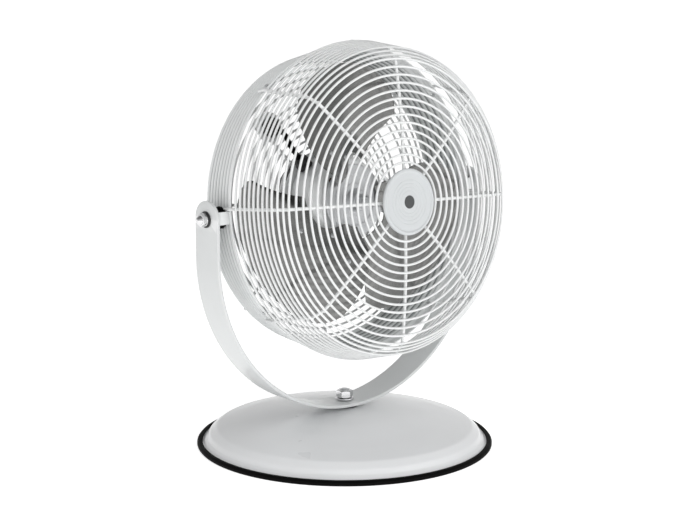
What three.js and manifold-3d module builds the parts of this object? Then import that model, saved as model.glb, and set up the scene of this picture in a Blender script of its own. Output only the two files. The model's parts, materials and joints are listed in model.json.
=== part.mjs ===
// A desk fan: a wire-caged head on a bent strap yoke, bolted to a pressed-steel round base.
// Units are millimetres. +Z is up, the front of the fan faces -Y, and the origin is at the
// centre of the underside. Parts of the head are made with their own +Z along the fan's axis.

import * as THREE from 'three';
import { mergeVertices } from 'three/addons/utils/BufferGeometryUtils.js';
import Module from 'manifold-3d';

const wasm = await Module();
wasm.setup();

// ---------------------------------------------------------------- driving dimensions

const GAP = 0.3; // clearance between touching parts
const SPARE = 20; // extra length of a tool that cuts right through

// base
const BASE_R = 170; // outside of the rubber edge
const TRIM = { width: 7.5, height: 6, bevel: 1.5 };
const PAN_SHEET = 1.5;
const CROWN_Z = 43.5; // top of the domed pan
const CROWN_FLAT_R = 16; // flat seat for the yoke
const CROWN_CURVE = 1.9; // exponent of the crown's fall
const SHOULDER = { r: 146, z: 21.5 };
const FLANGE = { r: 157.5, z: 10 }; // foot of the dome, where the rim flange starts
const BALLAST = { r: 90, foot: 7, edge: 16, recessR: 20, recess: 14 };
const BASE_BOLT = { r: 4.9, hole: 5.5, low: 13, top: 63.6, flats: 16, head: 7.4 };
const BASE_FACETS = 30;

// yoke: one flat bar bent to a half circle with straight arms
const STRAP_WIDTH = 40;
const STRAP_T = 3.8;
const STRAP_R = 194; // outside of the half circle
const STRAP_CENTRE_Z = 240.4;
const STRAP_LOW = STRAP_CENTRE_Z - STRAP_R;
const PIVOT_Z = 283.5;
const TILT_DEG = 6.2; // the head looks up by this much at rest
const YOKE_NUT = { flats: 17, height: 8.4, washerR: 10.5, washer: 1.8, bow: 1.1 };
const CLAMP_DISC_R = 15;

// pivots, one on each side
const PIVOT_SIDES = { left: -1, right: 1 };
const BRACKET = { top: 188.2, plate: 2, leg: 15, height: 14 };
const BUSH_R = 12;
const PIVOT_BOLT = { r: 3.95, hole: 4.4, head: 8.5, headDepth: 3, past: 7.5 };
const PIVOT_WASHER = { r: 9, bore: 4.6, t: 1.6 };
const ACORN = { flats: 13, hexagon: 5.5, domeR: 6.4, height: 10.6 };

// head: radii from the fan axis, and heights along it from the pivot line, towards the front
const BAND = { frontR: 175.3, frontS: 19, rearR: 165.4, rearS: -37, sheet: 1.5, lipR: 159 };
const WIRE = 3; // ring wire
const SPOKE = 3.8; // radial wire
const WELD = 0.75; // depth to which crossing wires are sunk into each other
const SPOKE_COUNT = 8;
const SPOKE_TWIST = -3.1; // degrees
const FACE = { rings: 7, firstR: 43.1, pitch: 18.8, centreS: 104.2, drop: 9.4, curve: 1.8 };
const FACE_DISC_R = 30;
const CORNER = { r: 168.6, s: 82 };
const SIDE = { rings: 4, lastR: 177.2, lastS: 31.6 };
const SPOKE_END_S = 9.8;
const BADGE = { r: 36.5, rim: 3.4, field: 2.8, rimWidth: 4 };
const GUARD_SCREW = { r: 2.2, hole: 2.6, s: 12.5, headR: 3.8, aside: -3.2 };

// rear guard
const REAR = { rings: 6, firstR: 62, lastR: 156.5, plateR: 56, plateS: -39.5, edgeS: -40.2 };
const REAR_PLATE = { t: 2.5, bore: 22 };
const REAR_SPOKE_MID = REAR.plateS - 1.6;

// motor
const MOTOR = { r: 50, rear: -39.2, split: -6, front: 8, wall: 3, facets: 20 };
const NOSE_RISE = 4.5;
const AIR_SLOTS = { count: 8, length: 15, width: 8, midR: 30 };
const MOTOR_SCREW = { r: 2.2, hole: 2.5, circle: 40, count: 4, headR: 4, turn: 22.5 };
const STACK = { low: -21, high: -3, bore: 25.6, slots: 6, slotWidth: 7 };
const WINDING = { inner: 30, outer: 40, overhang: 5.5 };
const SHAFT_R = 5;
const BEARING = { r: 13, bore: SHAFT_R + 0.06, width: 9 };
const FRONT_BEARING_S = MOTOR.front - 7;
const REAR_BEARING_S = MOTOR.rear + MOTOR.wall + GAP;

// impeller: angles are in degrees from the blade's own middle line
const BLADES = 3;
const BLADE_FIRST_DEG = 105.5;
const BLADE_MID_S = 20;
const BLADE_RISE = 34; // rise along the axis per radian of sweep
const BLADE_T = 2;
const BLADE_TIP_R = 154;
const BLADE_ROOT = { rearR: 54, frontR: 30 };
const BLADE_FLAT = { from: 26, to: 62 }; // radii over which the twist fades in from the hub
const HUB = { plateR: 41, plate: 2.5, low: 15, high: 30, r: 13 };
const ARM = { from: 36, to: 86, stem: 9, paddle: 31, t: 2.4, clear: 0.6 };
const HUB_NUT = { flats: 13, height: 6.7 };

// wiring and rear control
const GLAND = { deg: 128, r: 112, bore: 3.6, hexagon: 7, dome: 14 };
const GLAND_PLATE_R = 17;
const MOTOR_GLAND_FLATS = 18;
const CORD_GLAND_FLATS = 20;
const LEAD = { r: 3.1, s: -27 };
const COVER = { r: 47, rear: -74, wall: 2.2 };
const SWITCH_SIZE = 30;
const CAPACITOR = { r: 9, length: 36 };
const KNOB = { r: 17, length: 17, spindleR: 2.9 };

const rad = THREE.MathUtils.degToRad;
const { lerp, mapLinear, clamp, smoothstep } = THREE.MathUtils;

// ---------------------------------------------------------------- finishes

const finish = (color, roughness, metalness) =>
  new THREE.MeshStandardMaterial({ color, roughness, metalness });

const WHITE_PAINT = finish(0xe9ebea, 0.35, 0);
const BLACK_RUBBER = finish(0x121212, 0.8, 0);
const BLACK_PLASTIC = finish(0x161616, 0.45, 0);
const CHROME = finish(0xc9c9cb, 0.15, 1);
const ZINC = finish(0xa9abad, 0.4, 1);
const CAST_IRON = finish(0x3b3c3e, 0.8, 0.6);
const BLADE_ALUMINIUM = finish(0x77787a, 0.28, 1);
const MOTOR_ALUMINIUM = finish(0xc3c5c5, 0.4, 0.8);
const STEEL = finish(0x8d8f92, 0.35, 1);
const LAMINATION = finish(0x5a5c5f, 0.6, 0.9);
const COPPER = finish(0x9a5a30, 0.45, 0.8);
const BADGE_WHITE = finish(0xdfe3e4, 0.4, 0);

// ---------------------------------------------------------------- shape helpers

// A closed mesh with shared vertices, as a solid for cutting and joining.
function solid(geometry) {
  const bare = geometry.clone();
  for (const name of Object.keys(bare.attributes)) {
    if (name !== 'position') bare.deleteAttribute(name);
  }
  const merged = mergeVertices(bare, 1e-4);
  const source = merged.index.array;
  const faces = [];
  for (let i = 0; i < source.length; i += 3) {
    const [a, b, c] = [source[i], source[i + 1], source[i + 2]];
    if (a !== b && b !== c && c !== a) faces.push(a, b, c);
  }
  return new wasm.Manifold(new wasm.Mesh({
    numProp: 3,
    vertProperties: new Float32Array(merged.attributes.position.array),
    triVerts: new Uint32Array(faces),
  }));
}

// The finished solid as a three.js geometry.
function geometryOf(body) {
  const mesh = body.getMesh();
  const geometry = new THREE.BufferGeometry();
  geometry.setAttribute('position', new THREE.BufferAttribute(mesh.vertProperties, 3));
  geometry.setIndex(new THREE.BufferAttribute(mesh.triVerts, 1));
  geometry.computeVertexNormals();
  return geometry;
}

const joined = (...shapes) => geometryOf(
  shapes.slice(1).reduce((whole, shape) => whole.add(solid(shape)), solid(shapes[0])));

const drilled = (body, ...tools) => geometryOf(
  tools.reduce((rest, tool) => rest.subtract(solid(tool)), solid(body)));

// A round about +Z from [radius, height] points, outer wall upwards.
function turned(points, segments, startDeg = 0) {
  const profile = points.map(([r, h]) => new THREE.Vector2(r, h));
  const geometry = new THREE.LatheGeometry(profile, segments, rad(startDeg));
  return geometry.rotateX(Math.PI / 2);
}

// A ring or tube of rectangular section about +Z.
const tube = (inner, outer, low, high, segments) => turned(
  [[inner, low], [outer, low], [outer, high], [inner, high], [inner, low]], segments);

// A solid disc or rod about +Z.
const rod = (r, low, high, segments) => turned(
  [[0, low], [r, low], [r, high], [0, high]], segments);

// A regular hexagonal prism about +Z, by its width across flats.
function hexagon(flats, low, high) {
  const corner = flats / Math.sqrt(3);
  const prism = new THREE.CylinderGeometry(corner, corner, high - low, 6);
  return prism.rotateX(Math.PI / 2).translate(0, 0, (low + high) / 2);
}

const block = (x, y, z, cx, cy, cz) => new THREE.BoxGeometry(x, y, z).translate(cx, cy, cz);

// Equal angles around the axis, in degrees.
const around = (count, startDeg = 0) =>
  Array.from({ length: count }, (_, k) => startDeg + (360 / count) * k);

// A shape made about +Z, aimed away from the fan axis at a height along it.
const aimed = (geometry, s, deg) =>
  geometry.rotateY(Math.PI / 2).translate(0, 0, s).rotateZ(rad(deg));

// ---------------------------------------------------------------- groups and nodes

const fan = new THREE.Group();
const head = new THREE.Group();
head.position.set(0, 0, PIVOT_Z);
head.rotation.x = rad(90 - TILT_DEG);
fan.add(head);

function node(parent, name, geometry, material) {
  const mesh = new THREE.Mesh(geometry, material);
  mesh.name = name;
  parent.add(mesh);
}

// ---------------------------------------------------------------- base

// Height of the pan's outer surface at a radius: a crown that falls to a rounded shoulder.
const crownFall = (CROWN_Z - SHOULDER.z) / (SHOULDER.r - CROWN_FLAT_R) ** CROWN_CURVE;
const panHeight = (r) => CROWN_Z - crownFall * Math.max(0, r - CROWN_FLAT_R) ** CROWN_CURVE;

function panOutline() {
  const steps = 4;
  const dome = [];
  for (let i = 0; i <= steps; i += 1) {
    const r = lerp(CROWN_FLAT_R, SHOULDER.r, i / steps);
    dome.push([r, panHeight(r)]);
  }
  const rimTop = (TRIM.height + PAN_SHEET) / 2;
  return [
    ...dome,
    [FLANGE.r - 3, SHOULDER.z - 4.5],
    [FLANGE.r, FLANGE.z],
    [BASE_R - TRIM.width - 1, rimTop],
    [BASE_R - TRIM.width / 2, rimTop],
  ];
}

function addBase() {
  const seat = CROWN_Z - PAN_SHEET; // underside of the crown
  const outer = panOutline();
  const inner = outer.map(([r, z]) => {
    const steep = r > SHOULDER.r && r <= FLANGE.r;
    return [steep ? r - PAN_SHEET : r, z - PAN_SHEET];
  });
  const bore = BASE_BOLT.hole;
  node(fan, 'base_pan', turned([
    [bore, seat], ...inner, ...outer.slice().reverse(), [bore, CROWN_Z], [bore, seat],
  ], BASE_FACETS), WHITE_PAINT);

  // the rubber edge is a channel pushed over the rim
  const mid = TRIM.height / 2;
  const slot = PAN_SHEET / 2 + GAP;
  const slotEnd = BASE_R - TRIM.width / 2 + GAP;
  const trimInner = BASE_R - TRIM.width;
  node(fan, 'base_edge_trim', turned([
    [trimInner, 0], [BASE_R - TRIM.bevel, 0], [BASE_R, mid], [BASE_R - TRIM.bevel, TRIM.height],
    [trimInner + TRIM.bevel, TRIM.height], [slotEnd, mid + slot], [slotEnd, mid - slot],
    [trimInner, mid - slot], [trimInner, 0],
  ], BASE_FACETS), BLACK_RUBBER);

  // cast ballast ring hung under the crown, on a central boss
  node(fan, 'ballast', turned([
    [bore, BALLAST.recess], [BALLAST.recessR, BALLAST.recess], [BALLAST.recessR, BALLAST.foot],
    [BALLAST.r, BALLAST.foot], [BALLAST.r, BALLAST.edge], [CROWN_FLAT_R - 2, seat - GAP],
    [bore, seat - GAP], [bore, BALLAST.recess],
  ], 24), CAST_IRON);

  const bolt = joined(
    rod(BASE_BOLT.r, BASE_BOLT.low, BASE_BOLT.top, 12),
    hexagon(BASE_BOLT.flats, BASE_BOLT.head, BALLAST.recess - GAP));
  node(fan, 'base_bolt', bolt, ZINC);
  const disc = tube(bore, CLAMP_DISC_R, CROWN_Z + GAP, STRAP_LOW - GAP, 16);
  node(fan, 'clamp_disc', disc, BLACK_RUBBER);
}

// ---------------------------------------------------------------- yoke

// Outline of the bar seen from the front: outer arc, then back along the inner arc.
function strapShape() {
  const innerR = STRAP_R - STRAP_T;
  const armTop = PIVOT_Z + STRAP_WIDTH / 2;
  const shape = new THREE.Shape();
  shape.moveTo(-STRAP_R, armTop);
  shape.absarc(0, STRAP_CENTRE_Z, STRAP_R, Math.PI, 2 * Math.PI, false);
  shape.lineTo(STRAP_R, armTop);
  shape.lineTo(innerR, armTop);
  shape.absarc(0, STRAP_CENTRE_Z, innerR, 2 * Math.PI, Math.PI, true);
  shape.lineTo(-innerR, armTop);
  shape.closePath();
  return shape;
}

function addYoke() {
  const bar = new THREE.ExtrudeGeometry(strapShape(), {
    depth: STRAP_WIDTH, bevelEnabled: false, curveSegments: 16,
  });
  bar.rotateX(Math.PI / 2).translate(0, STRAP_WIDTH / 2, 0);
  const reach = STRAP_R + SPARE;
  const across = (r, segments) =>
    rod(r, -reach, reach, segments).rotateY(Math.PI / 2).translate(0, 0, PIVOT_Z);
  // the arm ends are rounded about the pivots
  const endRound = solid(across(STRAP_WIDTH / 2, 16));
  const below = block(2 * reach, STRAP_WIDTH + SPARE, PIVOT_Z, 0, 0, PIVOT_Z / 2);
  const strap = geometryOf(solid(bar).intersect(endRound.add(solid(below))));
  const holes = [across(PIVOT_BOLT.hole, 8), rod(BASE_BOLT.hole, 0, STRAP_LOW + SPARE, 8)];
  node(fan, 'yoke_strap', drilled(strap, ...holes), WHITE_PAINT);

  // a flat washer bridges the hollow of the curved bar
  const seat = STRAP_LOW + STRAP_T + YOKE_NUT.bow + GAP;
  const nutLow = seat + YOKE_NUT.washer + GAP;
  const washer = tube(BASE_BOLT.hole, YOKE_NUT.washerR, seat, seat + YOKE_NUT.washer, 14);
  node(fan, 'yoke_washer', washer, CHROME);
  const nut = drilled(
    hexagon(YOKE_NUT.flats, nutLow, nutLow + YOKE_NUT.height),
    rod(BASE_BOLT.r + GAP, seat, seat + SPARE, 12));
  node(fan, 'yoke_nut', nut, CHROME);
}

// ---------------------------------------------------------------- pivots, one on each side

// Outer radius of the conical band at a height along the fan axis.
const bandRadius = (s) => mapLinear(s, BAND.rearS, BAND.frontS, BAND.rearR, BAND.frontR);

// A hat-shaped strip whose two legs stand on the band, before it is turned outwards.
function hatStrip() {
  const { top, plate, leg, height } = BRACKET;
  const legs = [-1, 1].map((end) => {
    const foot = bandRadius(end * leg) + 1;
    return block(height, plate, top - foot, 0, end * (leg - plate / 2), (top + foot) / 2);
  });
  const hat = joined(block(height, 2 * leg, plate, 0, 0, top - plate / 2), ...legs);
  return drilled(hat, rod(PIVOT_BOLT.hole, top - SPARE, top + SPARE, 12));
}

function addPivot(name, side) {
  const outwards = (geometry) => geometry.rotateY(side * Math.PI / 2);
  // the strip runs along the fan axis, so it is turned with its legs front and rear
  const bracket = hatStrip().rotateX(Math.PI / 2).rotateZ(side * Math.PI / 2);
  node(head, `pivot_bracket_${name}`, bracket, WHITE_PAINT);

  const bushTop = BRACKET.top - BRACKET.plate - GAP;
  const bush = tube(PIVOT_WASHER.bore, BUSH_R, bandRadius(BUSH_R) + GAP, bushTop, 14);
  node(head, `pivot_bush_${name}`, outwards(bush), BLACK_RUBBER);

  const boltTip = STRAP_R + PIVOT_BOLT.past;
  const headTop = bandRadius(-PIVOT_BOLT.head) - BAND.sheet - 4 * GAP;
  const headLow = headTop - PIVOT_BOLT.headDepth;
  const bolt = joined(
    rod(PIVOT_BOLT.r, headTop - 1, boltTip, 12),
    rod(PIVOT_BOLT.head, headLow, headTop, 14));
  node(head, `pivot_bolt_${name}`, outwards(bolt), ZINC);

  const washerFoot = STRAP_R + GAP;
  const nutFoot = washerFoot + PIVOT_WASHER.t + GAP;
  const washer = tube(PIVOT_WASHER.bore, PIVOT_WASHER.r, washerFoot, nutFoot - GAP, 12);
  node(head, `pivot_washer_${name}`, outwards(washer), BLACK_PLASTIC);

  const cap = turned([
    [0, nutFoot], [ACORN.domeR, nutFoot], [ACORN.domeR, nutFoot + 5],
    [ACORN.domeR - 0.5, nutFoot + 7.6], [ACORN.domeR - 2.8, nutFoot + ACORN.height - 0.6],
    [0, nutFoot + ACORN.height],
  ], 16);
  const acorn = drilled(
    joined(hexagon(ACORN.flats, nutFoot, nutFoot + ACORN.hexagon), cap),
    rod(PIVOT_BOLT.r + GAP, nutFoot - 1, boltTip + GAP, 12));
  node(head, `acorn_nut_${name}`, outwards(acorn), CHROME);
}

// ---------------------------------------------------------------- head: band and front guard

const SCREW_ANGLES = around(4, 45 + SPOKE_TWIST + GUARD_SCREW.aside);

function addBand() {
  const { frontR, frontS, rearR, rearS, sheet, lipR } = BAND;
  const band = turned([
    [lipR, rearS], [rearR, rearS], [frontR, frontS], [frontR - sheet, frontS],
    [rearR - sheet, rearS + sheet], [lipR, rearS + sheet], [lipR, rearS],
  ], 32);
  const reach = frontR + SPARE;
  const boltHoles = rod(PIVOT_BOLT.hole, -reach, reach, 8).rotateY(Math.PI / 2);
  const screwHoles = SCREW_ANGLES.map((deg) =>
    aimed(rod(GUARD_SCREW.hole, lipR, reach, 6), GUARD_SCREW.s, deg));
  node(head, 'shroud_band', drilled(band, boltHoles, ...screwHoles), WHITE_PAINT);
}

const faceRingR = (k) => FACE.firstR + FACE.pitch * k;
const faceHeight = (r) => {
  const share = (r - FACE.firstR) / (FACE.pitch * (FACE.rings - 1));
  return FACE.centreS - FACE.drop * Math.max(0, share) ** FACE.curve;
};

// Ring centres from the middle of the face out over the corner and back along the side.
function frontRings() {
  const rings = [];
  for (let k = 0; k < FACE.rings; k += 1) rings.push([faceRingR(k), faceHeight(faceRingR(k))]);
  const [lastR, lastS] = rings[FACE.rings - 1];
  for (const t of [0.5, 1]) rings.push([lerp(lastR, CORNER.r, t), lerp(lastS, CORNER.s, t)]);
  for (let k = 1; k <= SIDE.rings; k += 1) {
    const t = k / SIDE.rings;
    rings.push([lerp(CORNER.r, SIDE.lastR, t), lerp(CORNER.s, SIDE.lastS, t)]);
  }
  return rings;
}

const RING_SEGMENTS = 24;
const RING_OFFSET = SPOKE_TWIST + 180 / RING_SEGMENTS; // ring corners fall between the spokes
const RING_FIT = 1 / Math.cos(rad(128 / RING_SEGMENTS)); // the facets straddle the true circle

// One wire ring with a three-sided section, flat side outwards.
function wireRing(r, s) {
  const h = WIRE / 2;
  const fit = r * RING_FIT;
  const flat = fit + h * 0.6;
  return turned([[fit - h, s], [flat, s - h], [flat, s + h], [fit - h, s]],
    RING_SEGMENTS, RING_OFFSET);
}

// A radial wire of square section along a bent centre line in the plane of the axis.
function radialWire(points, deg) {
  const centre = points.map(([r, s]) => new THREE.Vector2(r, s));
  const offset = (distance) => centre.map((p, i) => {
    const before = centre[Math.max(0, i - 1)];
    const after = centre[Math.min(centre.length - 1, i + 1)];
    const along = after.clone().sub(before).normalize();
    return p.clone().add(new THREE.Vector2(-along.y, along.x).multiplyScalar(distance));
  });
  const half = SPOKE / 2;
  const shape = new THREE.Shape([...offset(-half), ...offset(half).reverse()]);
  const bar = new THREE.ExtrudeGeometry(shape, { depth: SPOKE, bevelEnabled: false });
  return bar.translate(0, 0, -half).rotateX(Math.PI / 2).rotateZ(rad(deg));
}

// The radial wires lie inside the rings and step out over the front edge of the band.
function frontSpokePath() {
  const sunk = WIRE / 2 + SPOKE / 2 - WELD;
  const onFace = (r) => [r, faceHeight(r) - sunk];
  const overBand = (s) => [bandRadius(s) + GAP + SPOKE / 2, s];
  const lastFaceR = faceRingR(FACE.rings - 1);
  return [
    onFace(FACE_DISC_R - 4), onFace(faceRingR(1)), onFace(faceRingR(3)), onFace(lastFaceR - 10),
    [lastFaceR - 1, faceHeight(lastFaceR) - sunk], [CORNER.r - sunk - 1.5, CORNER.s + 1.5],
    [SIDE.lastR - sunk, SIDE.lastS], overBand(BAND.frontS + 2), overBand(SPOKE_END_S),
  ];
}

function addFrontGuard() {
  const disc = rod(FACE_DISC_R, FACE.centreS - SPOKE, FACE.centreS + 1.2, 24);
  const rings = frontRings().map(([r, s]) => wireRing(r, s));
  const path = frontSpokePath();
  const spokes = around(SPOKE_COUNT, SPOKE_TWIST).map((deg) => radialWire(path, deg));
  node(head, 'front_guard', joined(disc, ...rings, ...spokes), WHITE_PAINT);

  const seat = FACE.centreS + 2.7;
  node(head, 'front_badge', turned([
    [0, seat], [BADGE.r, seat], [BADGE.r, seat + 2.2], [BADGE.r - 1.2, seat + BADGE.rim],
    [BADGE.r - BADGE.rimWidth, seat + BADGE.rim], [0, seat + BADGE.field],
  ], 28), BADGE_WHITE);
}

function addGuardScrews() {
  const surface = bandRadius(GUARD_SCREW.s);
  SCREW_ANGLES.forEach((deg, i) => {
    const cap = turned([
      [0, surface + 0.5], [GUARD_SCREW.headR, surface + 0.5],
      [GUARD_SCREW.headR - 1, surface + 2.9], [0, surface + 3.3],
    ], 12);
    const screw = joined(rod(GUARD_SCREW.r, surface - 6, surface + 2, 8), cap);
    node(head, `guard_screw_${i + 1}`, aimed(screw, GUARD_SCREW.s, deg), ZINC);
  });
}

// ---------------------------------------------------------------- head: rear guard

const MOTOR_SCREWS = around(MOTOR_SCREW.count, 45 + SPOKE_TWIST + MOTOR_SCREW.turn);

// A shape about +Z, moved to a radius and an angle on the head.
const placed = (geometry, r, deg) => geometry.translate(r, 0, 0).rotateZ(rad(deg));

// Tools about +Z at the four motor screws.
const atMotorScrews = (r, low, high, segments) => MOTOR_SCREWS.map((deg) =>
  placed(rod(r, low, high, segments), MOTOR_SCREW.circle, deg));

function addRearGuard() {
  const height = (r) => mapLinear(r, REAR.firstR, REAR.lastR, REAR_SPOKE_MID, REAR.edgeS);
  const plate = tube(REAR_PLATE.bore, REAR.plateR, REAR.plateS - REAR_PLATE.t, REAR.plateS, 24);
  const rings = [];
  for (let k = 0; k < REAR.rings; k += 1) {
    const r = lerp(REAR.firstR, REAR.lastR, k / (REAR.rings - 1));
    rings.push(wireRing(r, height(r)));
  }
  const path = [
    [REAR.plateR - 3, REAR_SPOKE_MID], [REAR.lastR + WIRE + 2.4, height(REAR.lastR)],
  ];
  const spokes = around(SPOKE_COUNT, SPOKE_TWIST).map((deg) => radialWire(path, deg));
  const [low, high] = [REAR.plateS - SPARE, REAR.plateS + SPARE];
  // a round plate among the rings carries the cord gland
  const opening = placed(rod(GLAND_PLATE_R - 3, low, high, 16), GLAND.r, GLAND.deg);
  const washer = tube(8.6, GLAND_PLATE_R, REAR.plateS - 2.2, REAR.plateS, 16);
  const grid = drilled(
    joined(plate, ...rings, ...spokes), ...atMotorScrews(MOTOR_SCREW.hole, low, high, 6), opening);
  node(head, 'rear_guard', joined(grid, placed(washer, GLAND.r, GLAND.deg)), WHITE_PAINT);
}

// ---------------------------------------------------------------- motor

const BEARING_SEAT = BEARING.r + GAP;
const SHAFT_HOLE = SHAFT_R + 2;

// The front end shell: a cup with a bearing seat, as a profile from its mouth to its nose.
function frontShell() {
  const { r, wall, front } = MOTOR;
  const mouth = MOTOR.split + GAP;
  const seatTop = FRONT_BEARING_S + BEARING.width + GAP;
  const seatLow = FRONT_BEARING_S - 1;
  const shell = turned([
    [r - wall, mouth], [r, mouth], [r, front - 8], [r - 7, front],
    [BEARING_SEAT - 3, front + NOSE_RISE], [SHAFT_HOLE, front + NOSE_RISE],
    [SHAFT_HOLE, seatTop], [BEARING_SEAT, seatTop], [BEARING_SEAT, seatLow],
    [BEARING_SEAT + 3, seatLow], [BEARING_SEAT + 4, front - wall],
    [r - 9, front - wall - 1], [r - wall, front - 9], [r - wall, mouth],
  ], MOTOR.facets);
  const slots = around(AIR_SLOTS.count).map((deg) =>
    block(AIR_SLOTS.length, AIR_SLOTS.width, SPARE, AIR_SLOTS.midR, 0, front).rotateZ(rad(deg)));
  return drilled(shell, ...slots);
}

function rearShell() {
  const { r, wall, rear, split } = MOTOR;
  const floor = rear + wall;
  const seatTop = floor + BEARING.width;
  const shell = turned([
    [SHAFT_HOLE, rear], [r - 4, rear], [r, rear + 4], [r, split], [r - wall, split],
    [r - wall, floor + 2], [r - wall - 2, floor], [BEARING_SEAT + 3, floor],
    [BEARING_SEAT + 3, seatTop], [BEARING_SEAT, seatTop], [BEARING_SEAT, floor],
    [SHAFT_HOLE, floor], [SHAFT_HOLE, rear],
  ], MOTOR.facets);
  const leadHole = aimed(rod(5, r - SPARE / 2, r + SPARE, 8), LEAD.s, GLAND.deg);
  const screwHoles = atMotorScrews(MOTOR_SCREW.hole, rear - SPARE, rear + 9, 6);
  return drilled(shell, ...screwHoles, leadHole);
}

function addMotor() {
  node(head, 'motor_front_shell', frontShell(), MOTOR_ALUMINIUM);
  node(head, 'motor_rear_shell', rearShell(), MOTOR_ALUMINIUM);

  const headTop = REAR.plateS - REAR_PLATE.t - GAP;
  MOTOR_SCREWS.forEach((deg, i) => {
    const screw = joined(
      rod(MOTOR_SCREW.r, REAR.plateS - 4, MOTOR.rear + 6, 6),
      rod(MOTOR_SCREW.headR, headTop - 2.8, headTop, 10));
    node(head, `motor_screw_${i + 1}`, placed(screw, MOTOR_SCREW.circle, deg), ZINC);
  });

  // stator: a toothed ring with its winding heads on both sides
  const { low, high, slots, slotWidth } = STACK;
  const slotMid = (WINDING.inner + WINDING.outer) / 2;
  const stackR = MOTOR.r - MOTOR.wall - 4 * GAP;
  const cuts = around(slots).map((deg) =>
    block(11, slotWidth, high - low + SPARE, slotMid, 0, (low + high) / 2).rotateZ(rad(deg)));
  const core = drilled(tube(STACK.bore, stackR, low, high, 24), ...cuts);
  node(head, 'stator_core', core, LAMINATION);

  // the winding: coil sides in the slots, joined by a ring of end turns at each side
  const { inner, outer, overhang } = WINDING;
  const sides = around(slots).map((deg) =>
    block(9.6, slotWidth - 4 * GAP, high - low + 4, slotMid, 0, (low + high) / 2)
      .rotateZ(rad(deg)));
  const winding = joined(
    tube(inner, outer, high + GAP, high + overhang, 18),
    tube(inner, outer, low - overhang, low - GAP, 18), ...sides);
  node(head, 'stator_winding', winding, COPPER);

  const bearing = (foot) => tube(BEARING.bore, BEARING.r, foot, foot + BEARING.width - GAP, 12);
  node(head, 'bearing_front', bearing(FRONT_BEARING_S + GAP), STEEL);
  node(head, 'bearing_rear', bearing(REAR_BEARING_S), STEEL);
}

// ---------------------------------------------------------------- rotor and impeller

// Height of the blade sheet: a helix whose twist fades out towards the hub.
function bladeHeight(r, angle) {
  const twist = smoothstep(r, BLADE_FLAT.from, BLADE_FLAT.to);
  return BLADE_MID_S + BLADE_RISE * angle * (1 - 0.12 * angle * angle) * twist;
}

// A thin sheet swept over (sideways, outwards) positions, laid on the blade surface.
function helicalSheet(nu, nv, place, thickness, lift) {
  const sheet = new THREE.BoxGeometry(1, 1, 1, nu, nv, 1);
  const spot = sheet.attributes.position;
  for (let i = 0; i < spot.count; i += 1) {
    const { r, angle } = place(0.5 - spot.getX(i), spot.getY(i) + 0.5);
    const s = bladeHeight(r, angle) + lift + thickness * spot.getZ(i);
    spot.setXYZ(i, r * Math.cos(angle), r * Math.sin(angle), s);
  }
  return sheet;
}

// How far a rounded corner has cut in (0 to 1) at v, from where it starts to the tip.
function cornerCut(v, start) {
  const t = clamp((v - start) / (1 - start), 0, 1);
  return 1 - Math.sqrt(1 - t * t);
}

// Angles of the rear and front edges of a blade, from its root (v 0) to its tip (v 1).
const rearEdge = (v) => -(55 + 7 * Math.min(1, v / 0.75) ** 1.5 - 37 * cornerCut(v, 0.68));
const frontEdge = (v) => 40 - 22 * Math.max(0, (v - 0.35) / 0.65) ** 1.2 - 15 * cornerCut(v, 0.8);

function bladePlace(u, v) {
  const rootR = lerp(BLADE_ROOT.rearR, BLADE_ROOT.frontR, smoothstep(u, 0.35, 0.7));
  return {
    r: lerp(rootR, BLADE_TIP_R, v),
    angle: rad(lerp(rearEdge(v), frontEdge(v), u)),
  };
}

// An arm of the hub: a stem that widens to a paddle behind its blade.
function armPlace(u, v) {
  const half = lerp(ARM.stem, ARM.paddle, smoothstep(v, 0.35, 0.75));
  return { r: lerp(ARM.from, ARM.to, v), angle: rad(half * (2 * u - 1)) };
}

function addRotor() {
  const bore = SHAFT_R + GAP;
  const shaft = rod(SHAFT_R, REAR_BEARING_S + GAP, HUB.high + HUB_NUT.height + 1, 12);
  node(head, 'motor_shaft', shaft, STEEL);
  const rotor = tube(bore, STACK.bore - 2 * GAP, STACK.low, STACK.high, 20);
  node(head, 'rotor_core', rotor, LAMINATION);

  // hub with three arms that follow the pitch of the blades
  const plateTop = HUB.low + HUB.plate;
  const hub = turned([
    [bore, HUB.low], [HUB.plateR, HUB.low], [HUB.plateR, plateTop], [HUB.r, plateTop],
    [HUB.r - 2, HUB.high], [bore, HUB.high], [bore, HUB.low],
  ], 18);
  const bladeAngles = around(BLADES, BLADE_FIRST_DEG);
  const behind = -(BLADE_T / 2 + ARM.clear + ARM.t / 2);
  const arms = bladeAngles.map((deg) =>
    helicalSheet(6, 8, armPlace, ARM.t, behind).rotateZ(rad(deg)));
  node(head, 'blade_spider', joined(hub, ...arms), ZINC);

  bladeAngles.forEach((deg, i) => {
    const blade = helicalSheet(12, 12, bladePlace, BLADE_T, 0).rotateZ(rad(deg));
    node(head, `blade_${i + 1}`, blade, BLADE_ALUMINIUM);
  });
  const nutLow = HUB.high + GAP;
  const hubNut = drilled(
    hexagon(HUB_NUT.flats, nutLow, nutLow + HUB_NUT.height), rod(bore, HUB.low, nutLow + SPARE, 10));
  node(head, 'hub_nut', hubNut, ZINC);
}

// ---------------------------------------------------------------- wiring and control

// Outside of a cable gland: hexagon body and clamping dome, about +Z.
function glandBody(low, flats) {
  const dome = turned([
    [0, low + GLAND.hexagon - 1], [flats * 0.46, low + GLAND.hexagon - 1],
    [flats * 0.4, low + GLAND.dome], [0, low + GLAND.dome],
  ], 10);
  return joined(hexagon(flats, low, low + GLAND.hexagon), dome);
}

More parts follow.
